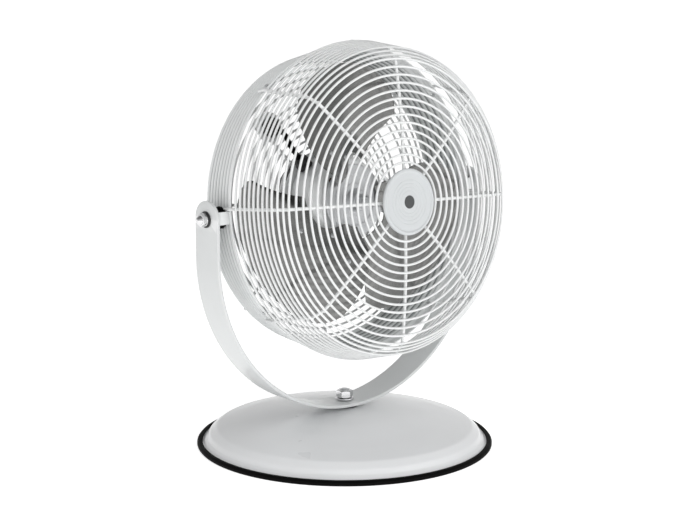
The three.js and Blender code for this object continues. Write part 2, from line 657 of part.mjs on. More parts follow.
function addWiring() {
  // gland on the side of the motor, pointing outwards
  const wall = MOTOR.r;
  const motorGland = drilled(
    joined(glandBody(wall + 1.2, MOTOR_GLAND_FLATS), rod(4.7, wall - 4, wall + 3, 8)),
    rod(GLAND.bore, wall - SPARE, wall + SPARE, 8));
  node(head, 'motor_gland', aimed(motorGland, LEAD.s, GLAND.deg), BLACK_PLASTIC);

  // gland through the rear guard, where the supply cord would enter
  const plateLow = REAR.plateS - 2.2;
  const outside = glandBody(0, CORD_GLAND_FLATS).rotateX(Math.PI);
  const inlet = drilled(
    joined(
      rod(8, plateLow - 3, plateLow + 4, 10), hexagon(22, REAR.plateS + GAP, REAR.plateS + 6),
      outside.translate(0, 0, plateLow - 2 * GAP)),
    rod(GLAND.bore, plateLow - SPARE, plateLow + SPARE, 8));
  node(head, 'cord_gland', placed(inlet, GLAND.r, GLAND.deg), BLACK_PLASTIC);

  // lead clipped between the two glands
  const path = new THREE.CatmullRomCurve3([
    new THREE.Vector3(wall - 2, 0, LEAD.s),
    new THREE.Vector3(wall + 18, 0, LEAD.s),
    new THREE.Vector3(wall + 34, 0, LEAD.s + 1),
    new THREE.Vector3(GLAND.r - 14, 0, LEAD.s + 5),
    new THREE.Vector3(GLAND.r - 3, 0, LEAD.s + 3),
    new THREE.Vector3(GLAND.r, 0, LEAD.s - 4),
    new THREE.Vector3(GLAND.r, 0, REAR.plateS + 3),
  ]);
  const section = new THREE.Shape();
  section.absarc(0, 0, LEAD.r, 0, 2 * Math.PI, false);
  const cable = new THREE.ExtrudeGeometry(section, {
    steps: 14, curveSegments: 4, bevelEnabled: false, extrudePath: path,
  });
  node(head, 'motor_lead', cable.rotateZ(rad(GLAND.deg)), BLACK_RUBBER);
}

function addControl() {
  const { r, rear, wall } = COVER;
  const top = REAR.plateS - REAR_PLATE.t - GAP;
  const cover = turned([
    [0, rear], [r - 8, rear], [r - 1, rear + 5], [r, top], [r - wall, top],
    [r - wall - 1, rear + 6], [r - 9, rear + wall], [0, rear + wall],
  ], 20);
  const screwRoom = atMotorScrews(MOTOR_SCREW.headR + 1, top - 4, top + 4, 8);
  const spindleHole = rod(5.5, rear - SPARE, rear + wall + 1, 10);
  node(head, 'switch_cover', drilled(cover, spindleHole, ...screwRoom), BLACK_PLASTIC);

  const floor = rear + wall + GAP;
  const body = drilled(
    block(SWITCH_SIZE, SWITCH_SIZE, 14, 0, 0, floor + 7), rod(3.4, floor - 1, floor + 8, 12));
  node(head, 'rotary_switch', body, BLACK_PLASTIC);
  const can = rod(CAPACITOR.r, 0, CAPACITOR.length, 14).rotateY(Math.PI / 2);
  can.translate(-CAPACITOR.length / 2, -27, floor + CAPACITOR.r + 1);
  node(head, 'capacitor', can, MOTOR_ALUMINIUM);

  const end = rear - KNOB.length;
  const skirt = rear - 0.8;
  const grip = turned([
    [0, end], [KNOB.r - 3, end], [KNOB.r - 0.8, end + 2], [KNOB.r, skirt], [0, skirt],
  ], 20);
  // pointer rib across the knob's end
  const rib = block(3, KNOB.r, 3, 0, KNOB.r / 2 - 1, end - 0.8);
  const spindle = rod(KNOB.spindleR, rear - 3, floor + 6, 12);
  node(head, 'speed_knob', joined(grip, spindle, rib), BLACK_PLASTIC);
}

addBase();
addYoke();
for (const [name, side] of Object.entries(PIVOT_SIDES)) addPivot(name, side);
addBand();
addFrontGuard();
addRearGuard();
addGuardScrews();
addMotor();
addRotor();
addWiring();
addControl();

export default fan;
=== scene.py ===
"""Looks for the desk fan: fine meshes, procedural finishes, studio and camera.

Pieces are made in millimetres and written in metres. Pieces of the head are made about the fan's axis:
x to the side, y up, and s along the axis towards the front, measured from the line of the pivots.
"""

import json
import math

import bmesh
import bpy
from mathutils import Matrix, Vector


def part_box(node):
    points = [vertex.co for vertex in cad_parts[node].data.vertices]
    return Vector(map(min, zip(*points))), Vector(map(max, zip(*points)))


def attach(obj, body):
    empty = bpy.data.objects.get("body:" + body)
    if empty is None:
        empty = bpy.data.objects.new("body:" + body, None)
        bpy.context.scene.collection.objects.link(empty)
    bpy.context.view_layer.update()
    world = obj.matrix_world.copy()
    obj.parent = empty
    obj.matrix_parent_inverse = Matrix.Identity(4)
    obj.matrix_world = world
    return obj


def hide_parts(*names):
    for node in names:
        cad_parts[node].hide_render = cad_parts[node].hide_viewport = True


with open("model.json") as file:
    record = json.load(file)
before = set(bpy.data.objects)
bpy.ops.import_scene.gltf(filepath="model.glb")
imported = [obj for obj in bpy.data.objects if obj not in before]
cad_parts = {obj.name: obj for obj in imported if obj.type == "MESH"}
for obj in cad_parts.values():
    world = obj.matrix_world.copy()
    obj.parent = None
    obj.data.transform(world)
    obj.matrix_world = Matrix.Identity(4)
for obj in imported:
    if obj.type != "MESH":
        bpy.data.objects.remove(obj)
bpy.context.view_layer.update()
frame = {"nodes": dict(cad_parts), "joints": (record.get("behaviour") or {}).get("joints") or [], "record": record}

MM = 0.001
MERGE_M = 1e-6
JOINTS = {joint["name"]: joint for joint in frame["joints"]}
BODIES = {
    node: body
    for body, nodes in frame["record"]["behaviour"]["bodies"].items()
    for node in nodes
}
PIVOT = Vector(JOINTS["head_tilt"]["pos_m"])
FAN_AXIS = Vector(JOINTS["rotor_spin"]["axis"])


def head_matrix():
    """From the head's own millimetres to the frame, in metres."""
    across = Vector((1, 0, 0))
    up = FAN_AXIS.cross(across)
    turn = Matrix((across, up, FAN_AXIS)).transposed().to_4x4()
    return Matrix.Translation(PIVOT) @ turn @ Matrix.Scale(MM, 4)


def box_high(node, axis):
    """Upper end of a CAD piece's box along "x", "y" or "z", in millimetres."""
    return getattr(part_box(node)[1], axis) / MM


def box_low(node, axis):
    """Lower end of a CAD piece's box along "x", "y" or "z", in millimetres."""
    return getattr(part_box(node)[0], axis) / MM


HEAD = head_matrix()
UPRIGHT = Matrix.Scale(MM, 4)
ALONG_X = Matrix.Rotation(math.pi / 2, 4, "Y")
UPSIDE_DOWN = Matrix.Rotation(math.pi, 4, "X")

# ---- sizes, in millimetres

BASE_R = box_high("base_edge_trim", "y")
TRIM_WIDTH = 7.5
TRIM_HEIGHT = box_high("base_edge_trim", "z")
CROWN_Z = box_high("base_pan", "z")
SHEET = 1.5
BORE_R = 5.5
SHOULDER_FROM_R, SHOULDER_TO_R, SHOULDER_THIN = 146, 161, 1.2

STRAP_R = box_high("yoke_strap", "x")
STRAP_LOW = box_low("yoke_strap", "z")
STRAP_WIDTH = 2 * box_high("yoke_strap", "y")
STRAP_T = 3.8
STRAP_CENTRE_Z = STRAP_LOW + STRAP_R
PIVOT_Z = PIVOT.z / MM
PIVOT_HOLE_R, YOKE_HOLE_R = 4.4, 5.4
BRACKET_TOP, BRACKET_LEG, BRACKET_HEIGHT = 188.2, 15.0, 14.0
BRACKET_T, BUSH_R, BUSH_BORE_R = 2.0, 12.0, 4.6
PIVOT_BOLT_R = 3.95

BAND_FRONT_R, BAND_FRONT_S = 175.3, 19.0
BAND_REAR_R, BAND_REAR_S = 165.4, -37.0
BAND_LIP_R = 159.0
RIB_PITCH, RIB_DEPTH, RIB_FRONT_S = 6.85, 3.4, 9.6
HEM_R, HEM_FROM_DEG, HEM_TO_DEG, HEM_STEPS = 1.25, -50, 230, 10
CUT_FROM_R, CUT_TO_R, CUT_PAST_R = 150, 200, 220

RING_WIRE = 1.4
SPOKE_WIRE = 1.85
SPOKES = 8
SPOKE_TWIST = -3.1
FACE_RINGS, FACE_FIRST_R, FACE_LAST_R = 14, 43.1, 155.8
FACE_S, FACE_DROP, FACE_CURVE = 104.2, 9.4, 1.8
CORNER_R, CORNER_S = 168.6, 82.0
SIDE_RINGS, SIDE_LAST_R, SIDE_LAST_S = 8, 177.3, 31.2
SPOKE_END_S = 9.8
WELD_SINK = 0.6
BADGE_R = 36.5

REAR_RINGS, REAR_FIRST_R, REAR_LAST_R = 12, 62.0, 156.5
REAR_RING_S, REAR_SPOKE_S = -39.4, -41.9
PLATE_R, PLATE_S = 56.0, -39.5

SCREW_ANGLES = [deg + SPOKE_TWIST - 3.2 for deg in (45, 135, 225, 315)]
SCREW_S, SCREW_SHANK_R, SCREW_HOLE_R = 12.5, 2.2, 2.6
MOTOR_SCREWS, MOTOR_SCREW_R = 4, 40.0
MOTOR_SCREW_FIRST = 45 + SPOKE_TWIST + 22.5

MOTOR_R, MOTOR_REAR, MOTOR_SPLIT, MOTOR_FRONT = 50.0, -39.2, -6.0, 8.0
MOTOR_SLOTS = 8
SHAFT_R = 5.0
GLAND_DEG, GLAND_R, LEAD_S = 128.0, 112.0, -27.0
GLAND_BORE_R, LEAD_R = 3.6, 3.0

BLADES, BLADE_FIRST_DEG = 3, 105.5
BLADE_REAR_ROOT_R, BLADE_FRONT_ROOT_R, BLADE_TIP_R = 54.0, 30.0, 154.0
BLADE_MID_S, BLADE_RISE, BLADE_T = 20.0, 34.0, 2.0
BLADE_FLAT_FROM, BLADE_FLAT_TO = 26.0, 62.0
REAR_EDGE_DEG, REAR_SWELL_DEG, REAR_CORNER_DEG = 55, 7, 37
FRONT_EDGE_DEG, FRONT_SWEEP_DEG, FRONT_CORNER_DEG = 40, 22, 15
ARM_FROM_R, ARM_TO_R, ARM_T = 36, 86, 2.2
ARM_NARROW_DEG, ARM_WIDE_DEG = 9, 31
BLADE_SHARP_DEG = 50
RIVETS = [(76, -25), (51, -2), (71, 21)]
HUB_PLATE_R, HUB_LOW, HUB_PLATE_TOP, HUB_HIGH = 41.0, 15.0, 17.5, 30.0
HUB_BORE_R = SHAFT_R + 0.3

COVER_R, COVER_REAR = 47.0, -74.0
KNOB_R, KNOB_DEEP = 17.0, 17.0
AIR_SLOTS = 24
DIAL_R, NUMERAL_SIZE = 25.5, 8.5

# ---- curves


def lerp(a, b, t):
    return a + (b - a) * t


def clamp(value):
    return min(1.0, max(0.0, value))


def smoothstep(value, low, high):
    t = clamp((value - low) / (high - low))
    return t * t * (3 - 2 * t)


def turns(count):
    """The angles of equal steps once around."""
    return [2 * math.pi * k / count for k in range(count)]


def polar(r, angle, height):
    return (r * math.cos(angle), r * math.sin(angle), height)


def rounded(corners, closed=False, steps=5):
    """A polyline through (a, b, radius) corners, each rounded by an arc of that radius."""
    points = []
    count = len(corners)
    for i, (a, b, radius) in enumerate(corners):
        here = Vector((a, b))
        if radius <= 0 or (not closed and i in (0, count - 1)):
            points.append((a, b))
            continue
        before = Vector(corners[i - 1][:2]) - here
        after = Vector(corners[(i + 1) % count][:2]) - here
        half = before.angle(after) / 2
        reach = min(radius / math.tan(half), before.length * 0.49, after.length * 0.49)
        start = here + before.normalized() * reach
        end = here + after.normalized() * reach
        weight = math.sin(half)
        for k in range(steps + 1):
            t = k / steps
            shares = ((1 - t) ** 2, 2 * t * (1 - t) * weight, t * t)
            total = sum(shares)
            point = (start * shares[0] + here * shares[1] + end * shares[2]) / total
            points.append((point.x, point.y))
    return points


def smooth_path(points, per_span=8):
    """A Catmull-Rom curve through 3-D points."""
    ends = [points[0] * 2 - points[1], *points, points[-1] * 2 - points[-2]]
    curve = []
    for i in range(1, len(ends) - 2):
        p0, p1, p2, p3 = ends[i - 1:i + 3]
        for k in range(per_span):
            t = k / per_span
            curve.append(0.5 * (
                2 * p1 + (p2 - p0) * t + (2 * p0 - 5 * p1 + 4 * p2 - p3) * t ** 2
                + (3 * p1 - p0 - 3 * p2 + p3) * t ** 3))
    curve.append(points[-1])
    return curve


# ---- mesh forms


class Form:
    """Vertices and faces in millimetres, built up from swept shapes."""

    def __init__(self):
        self.verts = []
        self.faces = []
        self.tones = []

    def add(self, verts, faces, place=None, tone=0):
        first = len(self.verts)
        moved = [Vector(v) if place is None else place @ Vector(v) for v in verts]
        self.verts.extend(moved)
        for face in faces:
            corners = []
            for index in face:
                if not corners or (index != corners[-1] and index != corners[0]):
                    corners.append(index)
            if len(corners) > 2:
                self.faces.append([first + index for index in corners])
                self.tones.append(tone)
        return self

    def grid(self, rows, wrap_rows=False, wrap_columns=True, place=None, tone=0):
        """Rows of points joined by quads. A row of one point closes to a pole."""
        width = max(len(row) for row in rows)
        verts, index = [], []
        for row in rows:
            start = len(verts)
            verts.extend(row)
            index.append([start] * width if len(row) == 1 else list(range(start, start + width)))
        faces = []
        for i in range(len(rows) if wrap_rows else len(rows) - 1):
            low, high = index[i], index[(i + 1) % len(rows)]
            for j in range(width if wrap_columns else width - 1):
                k = (j + 1) % width
                faces.append((low[j], low[k], high[k], high[j]))
        return self.add(verts, faces, place, tone)

    def cap(self, ring, place=None, tone=0):
        return self.add(ring, [tuple(range(len(ring)))], place, tone)

    def lathe(self, profile, segments=96, closed=False, place=None, tone=0):
        """A round about the axis from (radius, height) points."""
        rows = []
        for r, h in profile:
            rows.append([polar(r, a, h) for a in turns(segments)] if r > 0 else [(0, 0, h)])
        return self.grid(rows, wrap_rows=closed, place=place, tone=tone)

    def turned(self, corners, segments=96, steps=5, closed=False, place=None, tone=0):
        """A round about the axis from (radius, height, corner radius) corners."""
        return self.lathe(rounded(corners, closed, steps), segments, closed, place, tone)

    def rod(self, radius, low, high, segments, place=None):
        return self.lathe([(0, low), (radius, low), (radius, high), (0, high)], segments, place=place)

    def collar(self, inner, outer, low, high, edges, segments=64, place=None):
        """A ring of square section; edges are the radii of its corners, from the inner low one."""
        corners = zip((inner, outer, outer, inner), (low, low, high, high), edges)
        return self.turned(list(corners), segments, closed=True, place=place)

    def wire_ring(self, radius, height, wire):
        segments, sides = 144, 8
        profile = [(radius + wire * math.cos(a), height + wire * math.sin(a)) for a in turns(sides)]
        return self.lathe(profile, segments, closed=True)

    def wire(self, path, wire, sides=10, place=None):
        """A round wire along 3-D points, with domed ends."""
        tip, shoulder, shoulder_share = wire * 0.9, wire * 0.55, 0.8
        points = [Vector(p) for p in path]
        rows = []
        side = None
        for i, point in enumerate(points):
            along = (points[min(i + 1, len(points) - 1)] - points[max(i - 1, 0)]).normalized()
            if side is None:
                side = along.orthogonal().normalized()
            side = (side - along * side.dot(along)).normalized()
            other = along.cross(side)
            offsets = [side * math.cos(a) * wire + other * math.sin(a) * wire for a in turns(sides)]
            if i == 0:
                rows.append([point - along * tip])
                rows.append([point - along * shoulder + o * shoulder_share for o in offsets])
            rows.append([point + o for o in offsets])
            if i == len(points) - 1:
                rows.append([point + along * shoulder + o * shoulder_share for o in offsets])
                rows.append([point + along * tip])
        return self.grid(rows, place=place)

    def strip(self, path, widths, thickness, edge, place=None):
        """A flat bar along a bent (x, z) path, its width along y, with rounded edges."""
        rows = []
        for i, (x, z) in enumerate(path):
            a = Vector(path[max(i - 1, 0)])
            b = Vector(path[min(i + 1, len(path) - 1)])
            along = (b - a).normalized()
            out = Vector((along.y, -along.x))
            half, deep = widths[i] / 2, thickness / 2
            section = rounded([
                (-half, -deep, edge), (half, -deep, edge), (half, deep, edge), (-half, deep, edge),
            ], closed=True, steps=3)
            rows.append([(x + out.x * n, w, z + out.y * n) for w, n in section])
        self.grid(rows, place=place)
        self.cap(rows[0], place)
        return self.cap(rows[-1], place)

    def hexagon(self, flats, low, high, hole=0.0, place=None):
        """A hexagonal nut or bolt head whose corners are cut by a cone, as on real hardware."""
        samples, bevel, cone = 72, 0.5, math.tan(math.radians(32))
        flat_r = flats * 0.475
        mouth = hole + bevel if hole else 0.0
        rows = [[] for _ in range(8)]
        for a in turns(samples):
            fold = (a + math.pi / 6) % (math.pi / 3) - math.pi / 6
            r = flats / 2 / math.cos(fold)
            drop = max(0.0, r - flat_r) * cone
            loop = [
                (hole, low + bevel), (mouth, low), (flat_r, low), (r, low + drop),
                (r, high - drop), (flat_r, high), (mouth, high), (hole, high - bevel),
            ]
            for row, (radius, z) in zip(rows, loop):
                row.append(polar(radius, a, z))
        if hole:
            return self.grid(rows, wrap_rows=True, place=place)
        return self.grid([[(0, 0, low)], *rows[2:6], [(0, 0, high)]], place=place)

    def thread(self, radius, low, high, pitch, place=None):
        """A rod with a helical thread and a chamfered end."""
        around, per_turn, depth = 32, 6, pitch * 0.3
        chamfer_from, chamfer_slope = high - pitch * 0.8, 0.9
        count = max(2, round((high - low) / pitch * per_turn))
        rows = [[(0, 0, low)]]
        for i in range(count + 1):
            z = lerp(low, high, i / count)
            limit = radius - max(0.0, z - chamfer_from) * chamfer_slope
            row = []
            for k, a in enumerate(turns(around)):
                phase = (z / pitch - k / around) % 1
                r = min(limit, radius - depth * abs(2 * phase - 1))
                row.append(polar(r, a, z))
            rows.append(row)
        rows.append([(0, 0, high)])
        return self.grid(rows, place=place)

    def block(self, size, centre, edge, place=None, tone=0):
        """A box with all of its vertical edges rounded."""
        half = [s / 2 for s in size]
        outline = rounded([
            (-half[0], -half[1], edge), (half[0], -half[1], edge),
            (half[0], half[1], edge), (-half[0], half[1], edge),
        ], closed=True, steps=3)
        lift = min(edge, half[2]) * 0.5
        rows = []
        for inset, z in ((lift, -half[2]), (0, -half[2] + lift), (0, half[2] - lift), (lift, half[2])):
            shrink = (1 - inset / half[0], 1 - inset / half[1])
            rows.append([
                (centre[0] + x * shrink[0], centre[1] + y * shrink[1], centre[2] + z)
                for x, y in outline
            ])
        self.grid(rows, place=place, tone=tone)
        self.cap(rows[0], place, tone)
        return self.cap(rows[-1], place, tone)

    def mesh(self, name, place):
        data = bpy.data.meshes.new(name)
        data.from_pydata([place @ v for v in self.verts], [], self.faces)
        data.polygons.foreach_set("material_index", self.tones)
        work = bmesh.new()
        work.from_mesh(data)
        bmesh.ops.remove_doubles(work, verts=work.verts, dist=MERGE_M)
        bmesh.ops.recalc_face_normals(work, faces=work.faces)
        work.to_mesh(data)
        work.free()
        return data


def linked(name, data):
    """A new object in the scene."""
    piece = bpy.data.objects.new(name, data)
    bpy.context.scene.collection.objects.link(piece)
    return piece


def shade(data, sharp_deg=35):
    data.shade_smooth()
    data.set_sharp_from_angle(angle=math.radians(sharp_deg))


def put(name, form, materials, node, place=HEAD, sharp_deg=35):
    """Makes a form into a piece that stands for a CAD node and moves with its body."""
    data = form.mesh(name, place)
    for material in materials:
        data.materials.append(material)
    shade(data, sharp_deg)
    piece = linked(name, data)
    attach(piece, BODIES[node])
    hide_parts(node)
    return piece


def refine(piece, *changes, sharp_deg=35):
    """Applies modifiers, each given as (type, settings), to a piece's mesh."""
    for kind, settings in changes:
        modifier = piece.modifiers.new(kind.lower(), kind)
        for key, value in settings.items():
            setattr(modifier, key, value)
    graph = bpy.context.evaluated_depsgraph_get()
    data = bpy.data.meshes.new_from_object(piece.evaluated_get(graph))
    piece.modifiers.clear()
    old = piece.data
    piece.data = data
    bpy.data.meshes.remove(old)
    data.name = piece.name
    shade(data, sharp_deg)


def cut(piece, form, place=HEAD, sharp_deg=35):
    """Cuts a form out of a piece."""
    tool = linked("cutter", form.mesh("cutter", place))
    refine(piece, ("BOOLEAN", {"object": tool, "operation": "DIFFERENCE", "solver": "EXACT"}),
           sharp_deg=sharp_deg)
    bpy.data.objects.remove(tool)


def turned_to(deg):
    return Matrix.Rotation(math.radians(deg), 4, "Z")


def at(x, y, s=0.0):
    return Matrix.Translation((x, y, s))


def radial(deg, s):
    """Places a form made about +Z so that it points out from the fan's axis at an angle."""
    return turned_to(deg) @ at(0, 0, s) @ ALONG_X


def motor_screw_places(s=0.0):
    """Where the four screws stand that hold the motor to the rear guard's plate."""
    for k in range(MOTOR_SCREWS):
        angle = math.radians(MOTOR_SCREW_FIRST + 360 / MOTOR_SCREWS * k)
        yield at(*polar(MOTOR_SCREW_R, angle, s))


# ---- finishes

BLACK, WHITE = (0, 0, 0), (1, 1, 1)
NOISE_LOW, NOISE_HIGH = 0.3, 0.7
EDGE_FROM, EDGE_TO = 0.53, 0.6
VALLEY_FROM, VALLEY_TO = -0.2, 0.9


def feed(tree, node, inputs):
    """Gives each input of a node a value, or a link to the socket it reads."""
    for name, value in inputs.items():
        if isinstance(value, bpy.types.NodeSocket):
            tree.links.new(value, node.inputs[name])
        else:
            node.inputs[name].default_value = value


def add_node(tree, kind, inputs=None, **settings):
    node = tree.nodes.new("ShaderNode" + kind)
    for key, value in settings.items():
        setattr(node, key, value)
    feed(tree, node, inputs or {})
    return node


def add_ramp(tree, factor, stops):
    """Colours between (position, colour) stops, chosen by a factor."""
    node = add_node(tree, "ValToRGB", {"Fac": factor})
    elements = node.color_ramp.elements
    while len(elements) < len(stops):
        elements.new(0.5)
    for element, (position, colour) in zip(elements, stops):
        element.position = position
        element.color = (*colour, 1)
    return node.outputs["Color"]


def add_blend(tree, factor, paint, colour):
    """The paint, turned to a plain colour where the factor is 1."""
    inputs = {"Factor": factor, "A": paint, "B": (*colour, 1)}
    return add_node(tree, "Mix", inputs, data_type="RGBA").outputs["Result"]


def finish(name, colour, rough, metal=0.0, coat=0.0, coat_rough=0.05, vary=0.04, blotch=35.0,
           grain=900.0, bump=0.05, depth=0.0002, rough_vary=0.06, stretch=(1, 1, 1), edge_highlight=None,
           specular=0.5):
    """A material whose colour, roughness and relief vary over the surface, with an optional painted highlight: a
    lighter colour along convex edges.
    """
    material = bpy.data.materials.new(name)
    material.use_nodes = True
    tree = material.node_tree
    spot = add_node(tree, "TexCoord").outputs["Object"]
    scaled = add_node(tree, "Mapping", {"Vector": spot, "Scale": stretch}).outputs["Vector"]
    broad, fine = (
        add_node(tree, "TexNoise", {"Vector": scaled, "Scale": scale, "Detail": detail}).outputs["Fac"]
        for scale, detail in ((blotch, 4.0), (grain, 3.0))
    )
    dark = [c * (1 - vary) for c in colour]
    light = [min(1.0, c * (1 + vary)) for c in colour]
    paint = add_ramp(tree, broad, ((NOISE_LOW, dark), (NOISE_HIGH, light)))
    # painted highlight: a lighter colour on convex edges, where pointiness is high
    if edge_highlight is not None:
        edges = add_node(tree, "NewGeometry").outputs["Pointiness"]
        highlight_mask = add_ramp(tree, edges, ((EDGE_FROM, BLACK), (EDGE_TO, WHITE)))
        paint = add_blend(tree, highlight_mask, paint, edge_highlight)
    spread = add_node(tree, "MapRange", {
        "Value": broad, "From Min": NOISE_LOW, "From Max": NOISE_HIGH,
        "To Min": max(0.02, rough - rough_vary), "To Max": rough + rough_vary,
    })
    relief = add_node(tree, "Bump", {"Height": fine, "Strength": bump, "Distance": depth})
    feed(tree, tree.nodes["Principled BSDF"], {
        "Base Color": paint, "Roughness": spread.outputs["Result"],
        "Normal": relief.outputs["Normal"], "Metallic": metal, "Specular IOR Level": specular,
        "Coat Weight": coat, "Coat Roughness": coat_rough,
    })
    return material


def paint_groove_shade(material, colour):
    """Painted shade: a darker colour along the valleys between the ribs of the band."""
    tree = material.node_tree
    shader = tree.nodes["Principled BSDF"]
    paint = shader.inputs["Base Color"].links[0].from_socket
    turn = 2 * math.pi / RIB_PITCH
    front = turn * (PIVOT.dot(FAN_AXIS) / MM + RIB_FRONT_S)
    spot = add_node(tree, "TexCoord").outputs["Object"]
    along = add_node(tree, "VectorMath", {0: spot, 1: FAN_AXIS * (turn / MM)}, operation="DOT_PRODUCT")
    phase = add_node(tree, "Math", {0: along.outputs["Value"], 1: front}, operation="SUBTRACT")
    wave = add_node(tree, "Math", {0: phase.outputs["Value"]}, operation="COSINE")
    valley = add_node(tree, "MapRange", {
        "Value": wave.outputs["Value"], "From Min": VALLEY_FROM, "From Max": VALLEY_TO,
    })
    # no painted shade in front of the first rib
    ribbed = add_node(tree, "MapRange", {
        "Value": phase.outputs["Value"], "From Min": -math.pi / 2, "From Max": math.pi / 2,
        "To Min": 1.0, "To Max": 0.0,
    })
    factors = {0: valley.outputs["Result"], 1: ribbed.outputs["Result"]}
    groove_shade_amount = add_node(tree, "Math", factors, operation="MULTIPLY").outputs["Value"]
    feed(tree, shader, {"Base Color": add_blend(tree, groove_shade_amount, paint, colour)})


SPRAYED = {"rough": 0.34, "coat": 0.35, "coat_rough": 0.14, "vary": 0.015, "grain": 1400, "bump": 0.06}
# white enamel with a painted highlight along its edges
ENAMEL = finish("white_enamel", (0.77, 0.785, 0.785), edge_highlight=(0.84, 0.85, 0.85), **SPRAYED)
BAND_ENAMEL = finish("band_enamel_painted_shade", (0.82, 0.835, 0.835), **SPRAYED)
# painted shade in the valleys between the band's ribs
paint_groove_shade(BAND_ENAMEL, (0.20, 0.215, 0.215))
# painted shade: a darker copy of the white enamel for the yoke, also with a painted highlight along its edges
YOKE_SHADED_ENAMEL = finish("yoke_enamel_painted_shade", (0.66, 0.675, 0.675), edge_highlight=(0.8, 0.81, 0.81), **SPRAYED)
BASE_ENAMEL = finish("base_enamel", (0.83, 0.84, 0.85), 0.3, coat=0.5, coat_rough=0.18,
                     vary=0.01, blotch=12, grain=900, bump=0.02, rough_vary=0.03)
WIRE_ENAMEL = finish("wire_enamel", (0.78, 0.79, 0.79), 0.30, coat=0.4, coat_rough=0.1,
                     vary=0.015, grain=2200, bump=0.12)
BADGE = finish("badge_enamel", (0.57, 0.59, 0.60), 0.34, coat=0.2, vary=0.015, bump=0.05)
BADGE_DARK = finish("badge_print", (0.055, 0.058, 0.06), 0.4, vary=0.05, bump=0.04)
RUBBER = finish("black_rubber", (0.0025, 0.0023, 0.0023), 0.62, vary=0.2, grain=2600, bump=0.2,
                specular=0.06)
PLASTIC = finish("black_plastic", (0.016, 0.016, 0.017), 0.42, vary=0.12, grain=3200, bump=0.35)
PRINT = finish("white_print", (0.75, 0.75, 0.74), 0.5, vary=0.03)
CHROME = finish("chrome_plate", (0.74, 0.74, 0.75), 0.09, metal=1.0, vary=0.02,
                grain=500, bump=0.03, rough_vary=0.04)
ZINC = finish("zinc_plate", (0.58, 0.59, 0.60), 0.3, metal=1.0, vary=0.08, grain=1200, bump=0.08)
SPIDER = finish("hub_steel", (0.66, 0.67, 0.68), 0.36, metal=0.85, vary=0.06, grain=1500, bump=0.1)
BLADE_METAL = finish("blade_metal", (0.25, 0.25, 0.245), 0.13, metal=1.0, coat=0.15,
                     coat_rough=0.06, vary=0.05, blotch=22, grain=420, bump=0.02, rough_vary=0.03)
MOTOR_METAL = finish("motor_silver", (0.88, 0.89, 0.89), 0.4, metal=0.2, vary=0.04,
                     grain=1800, bump=0.15)
IRON = finish("cast_iron", (0.06, 0.061, 0.064), 0.75, metal=0.4, vary=0.25, grain=600,
              bump=0.6, depth=0.0006)
STEEL = finish("ground_steel", (0.5, 0.51, 0.52), 0.28, metal=1.0, vary=0.06, stretch=(1, 14, 14),
               bump=0.15)
LAMINATION = finish("lamination_edges", (0.12, 0.12, 0.13), 0.55, metal=0.9, vary=0.3,
                    grain=1600, stretch=(1, 9, 1), bump=0.5)
COPPER = finish("varnished_copper", (0.16, 0.075, 0.04), 0.5, metal=0.9, vary=0.3, grain=1500,
                stretch=(1, 1, 6), bump=0.5)

# ---- base


def base_pan():
    """Pressed dome with a rounded shoulder, a hollow curve at its foot and a flat rim."""
    outer = rounded([
        (BORE_R, CROWN_Z, 0), (16, CROWN_Z, 20), (40, 41.4, 200), (67, 38.3, 200), (93, 34.0, 200),
        (120, 28.4, 200), (135, 24.5, 120), (147, 21.2, 12), (155.5, 14.5, 8), (158, 9.5, 5),
        (162.5, 4.4, 3), (BASE_R - 4, 3.75, 0),
    ], steps=8)
    inner = []
    for r, z in reversed(outer):
        thin = SHOULDER_THIN if SHOULDER_FROM_R < r < SHOULDER_TO_R else 0
        inner.append((r - thin, z - SHEET))
    form = Form().lathe(outer + inner, segments=180, closed=True)
    put("base_dome", form, [BASE_ENAMEL], "base_pan", UPRIGHT, sharp_deg=50)


def base_trim():
    """Rubber channel around the rim, with a soft bead on top and a lip underneath."""
    inner, mid = BASE_R - TRIM_WIDTH, TRIM_HEIGHT / 2
    slot = SHEET / 2 + 0.25
    form = Form().turned([
        (inner, 0, 0.6), (BASE_R - 1.2, 0, 1.2), (BASE_R, 1.4, 0.8), (BASE_R, TRIM_HEIGHT - 2.2, 1.4),
        (BASE_R - 1.8, TRIM_HEIGHT, 1.2), (inner + 1.6, TRIM_HEIGHT, 0.9), (inner + 1, mid + slot, 0.2),
        (BASE_R - 3.4, mid + slot, 0.1), (BASE_R - 3.4, mid - slot, 0.1), (inner, mid - slot, 0.2),
    ], 180, closed=True, steps=4)
    put("base_rubber_edge", form, [RUBBER], "base_edge_trim", UPRIGHT)


def base_inside():
    """Cast weight with a rough skin, its clamping bolt and the friction disc on the crown."""
    radius = box_high("ballast", "x")
    top, foot = box_high("ballast", "z"), box_low("ballast", "z")
    form = Form().turned([
        (BORE_R, foot + 7, 1), (20, foot + 7, 2), (22, foot, 2), (radius - 1, foot, 3),
        (radius, foot + 8, 3), (radius - 6, foot + 9.5, 3), (15, top, 2), (BORE_R, top, 0.5),
    ], 96, closed=True, steps=4)
    put("cast_weight", form, [IRON], "ballast", UPRIGHT)

    bolt_top, bolt_foot = box_high("base_bolt", "z"), box_low("base_bolt", "z")
    thread_from = 49
    form = Form().hexagon(16, bolt_foot, bolt_foot + 6.2)
    form.rod(4.4, bolt_foot + 6, thread_from + 1, 32)
    form.thread(4.9, thread_from, bolt_top, 1.5)
    put("crown_bolt", form, [ZINC], "base_bolt", UPRIGHT)

    flat_ring("friction_disc", RUBBER, "clamp_disc", (0.2, 0.5, 0.5, 0.2))


def flat_ring(name, material, node, edges):
    """A disc or washer around the base's bolt, as large as its CAD piece."""
    low, high = box_low(node, "z"), box_high(node, "z")
    form = Form().collar(BORE_R, box_high(node, "y"), low, high, edges)
    put(name, form, [material], node, UPRIGHT)


# ---- yoke


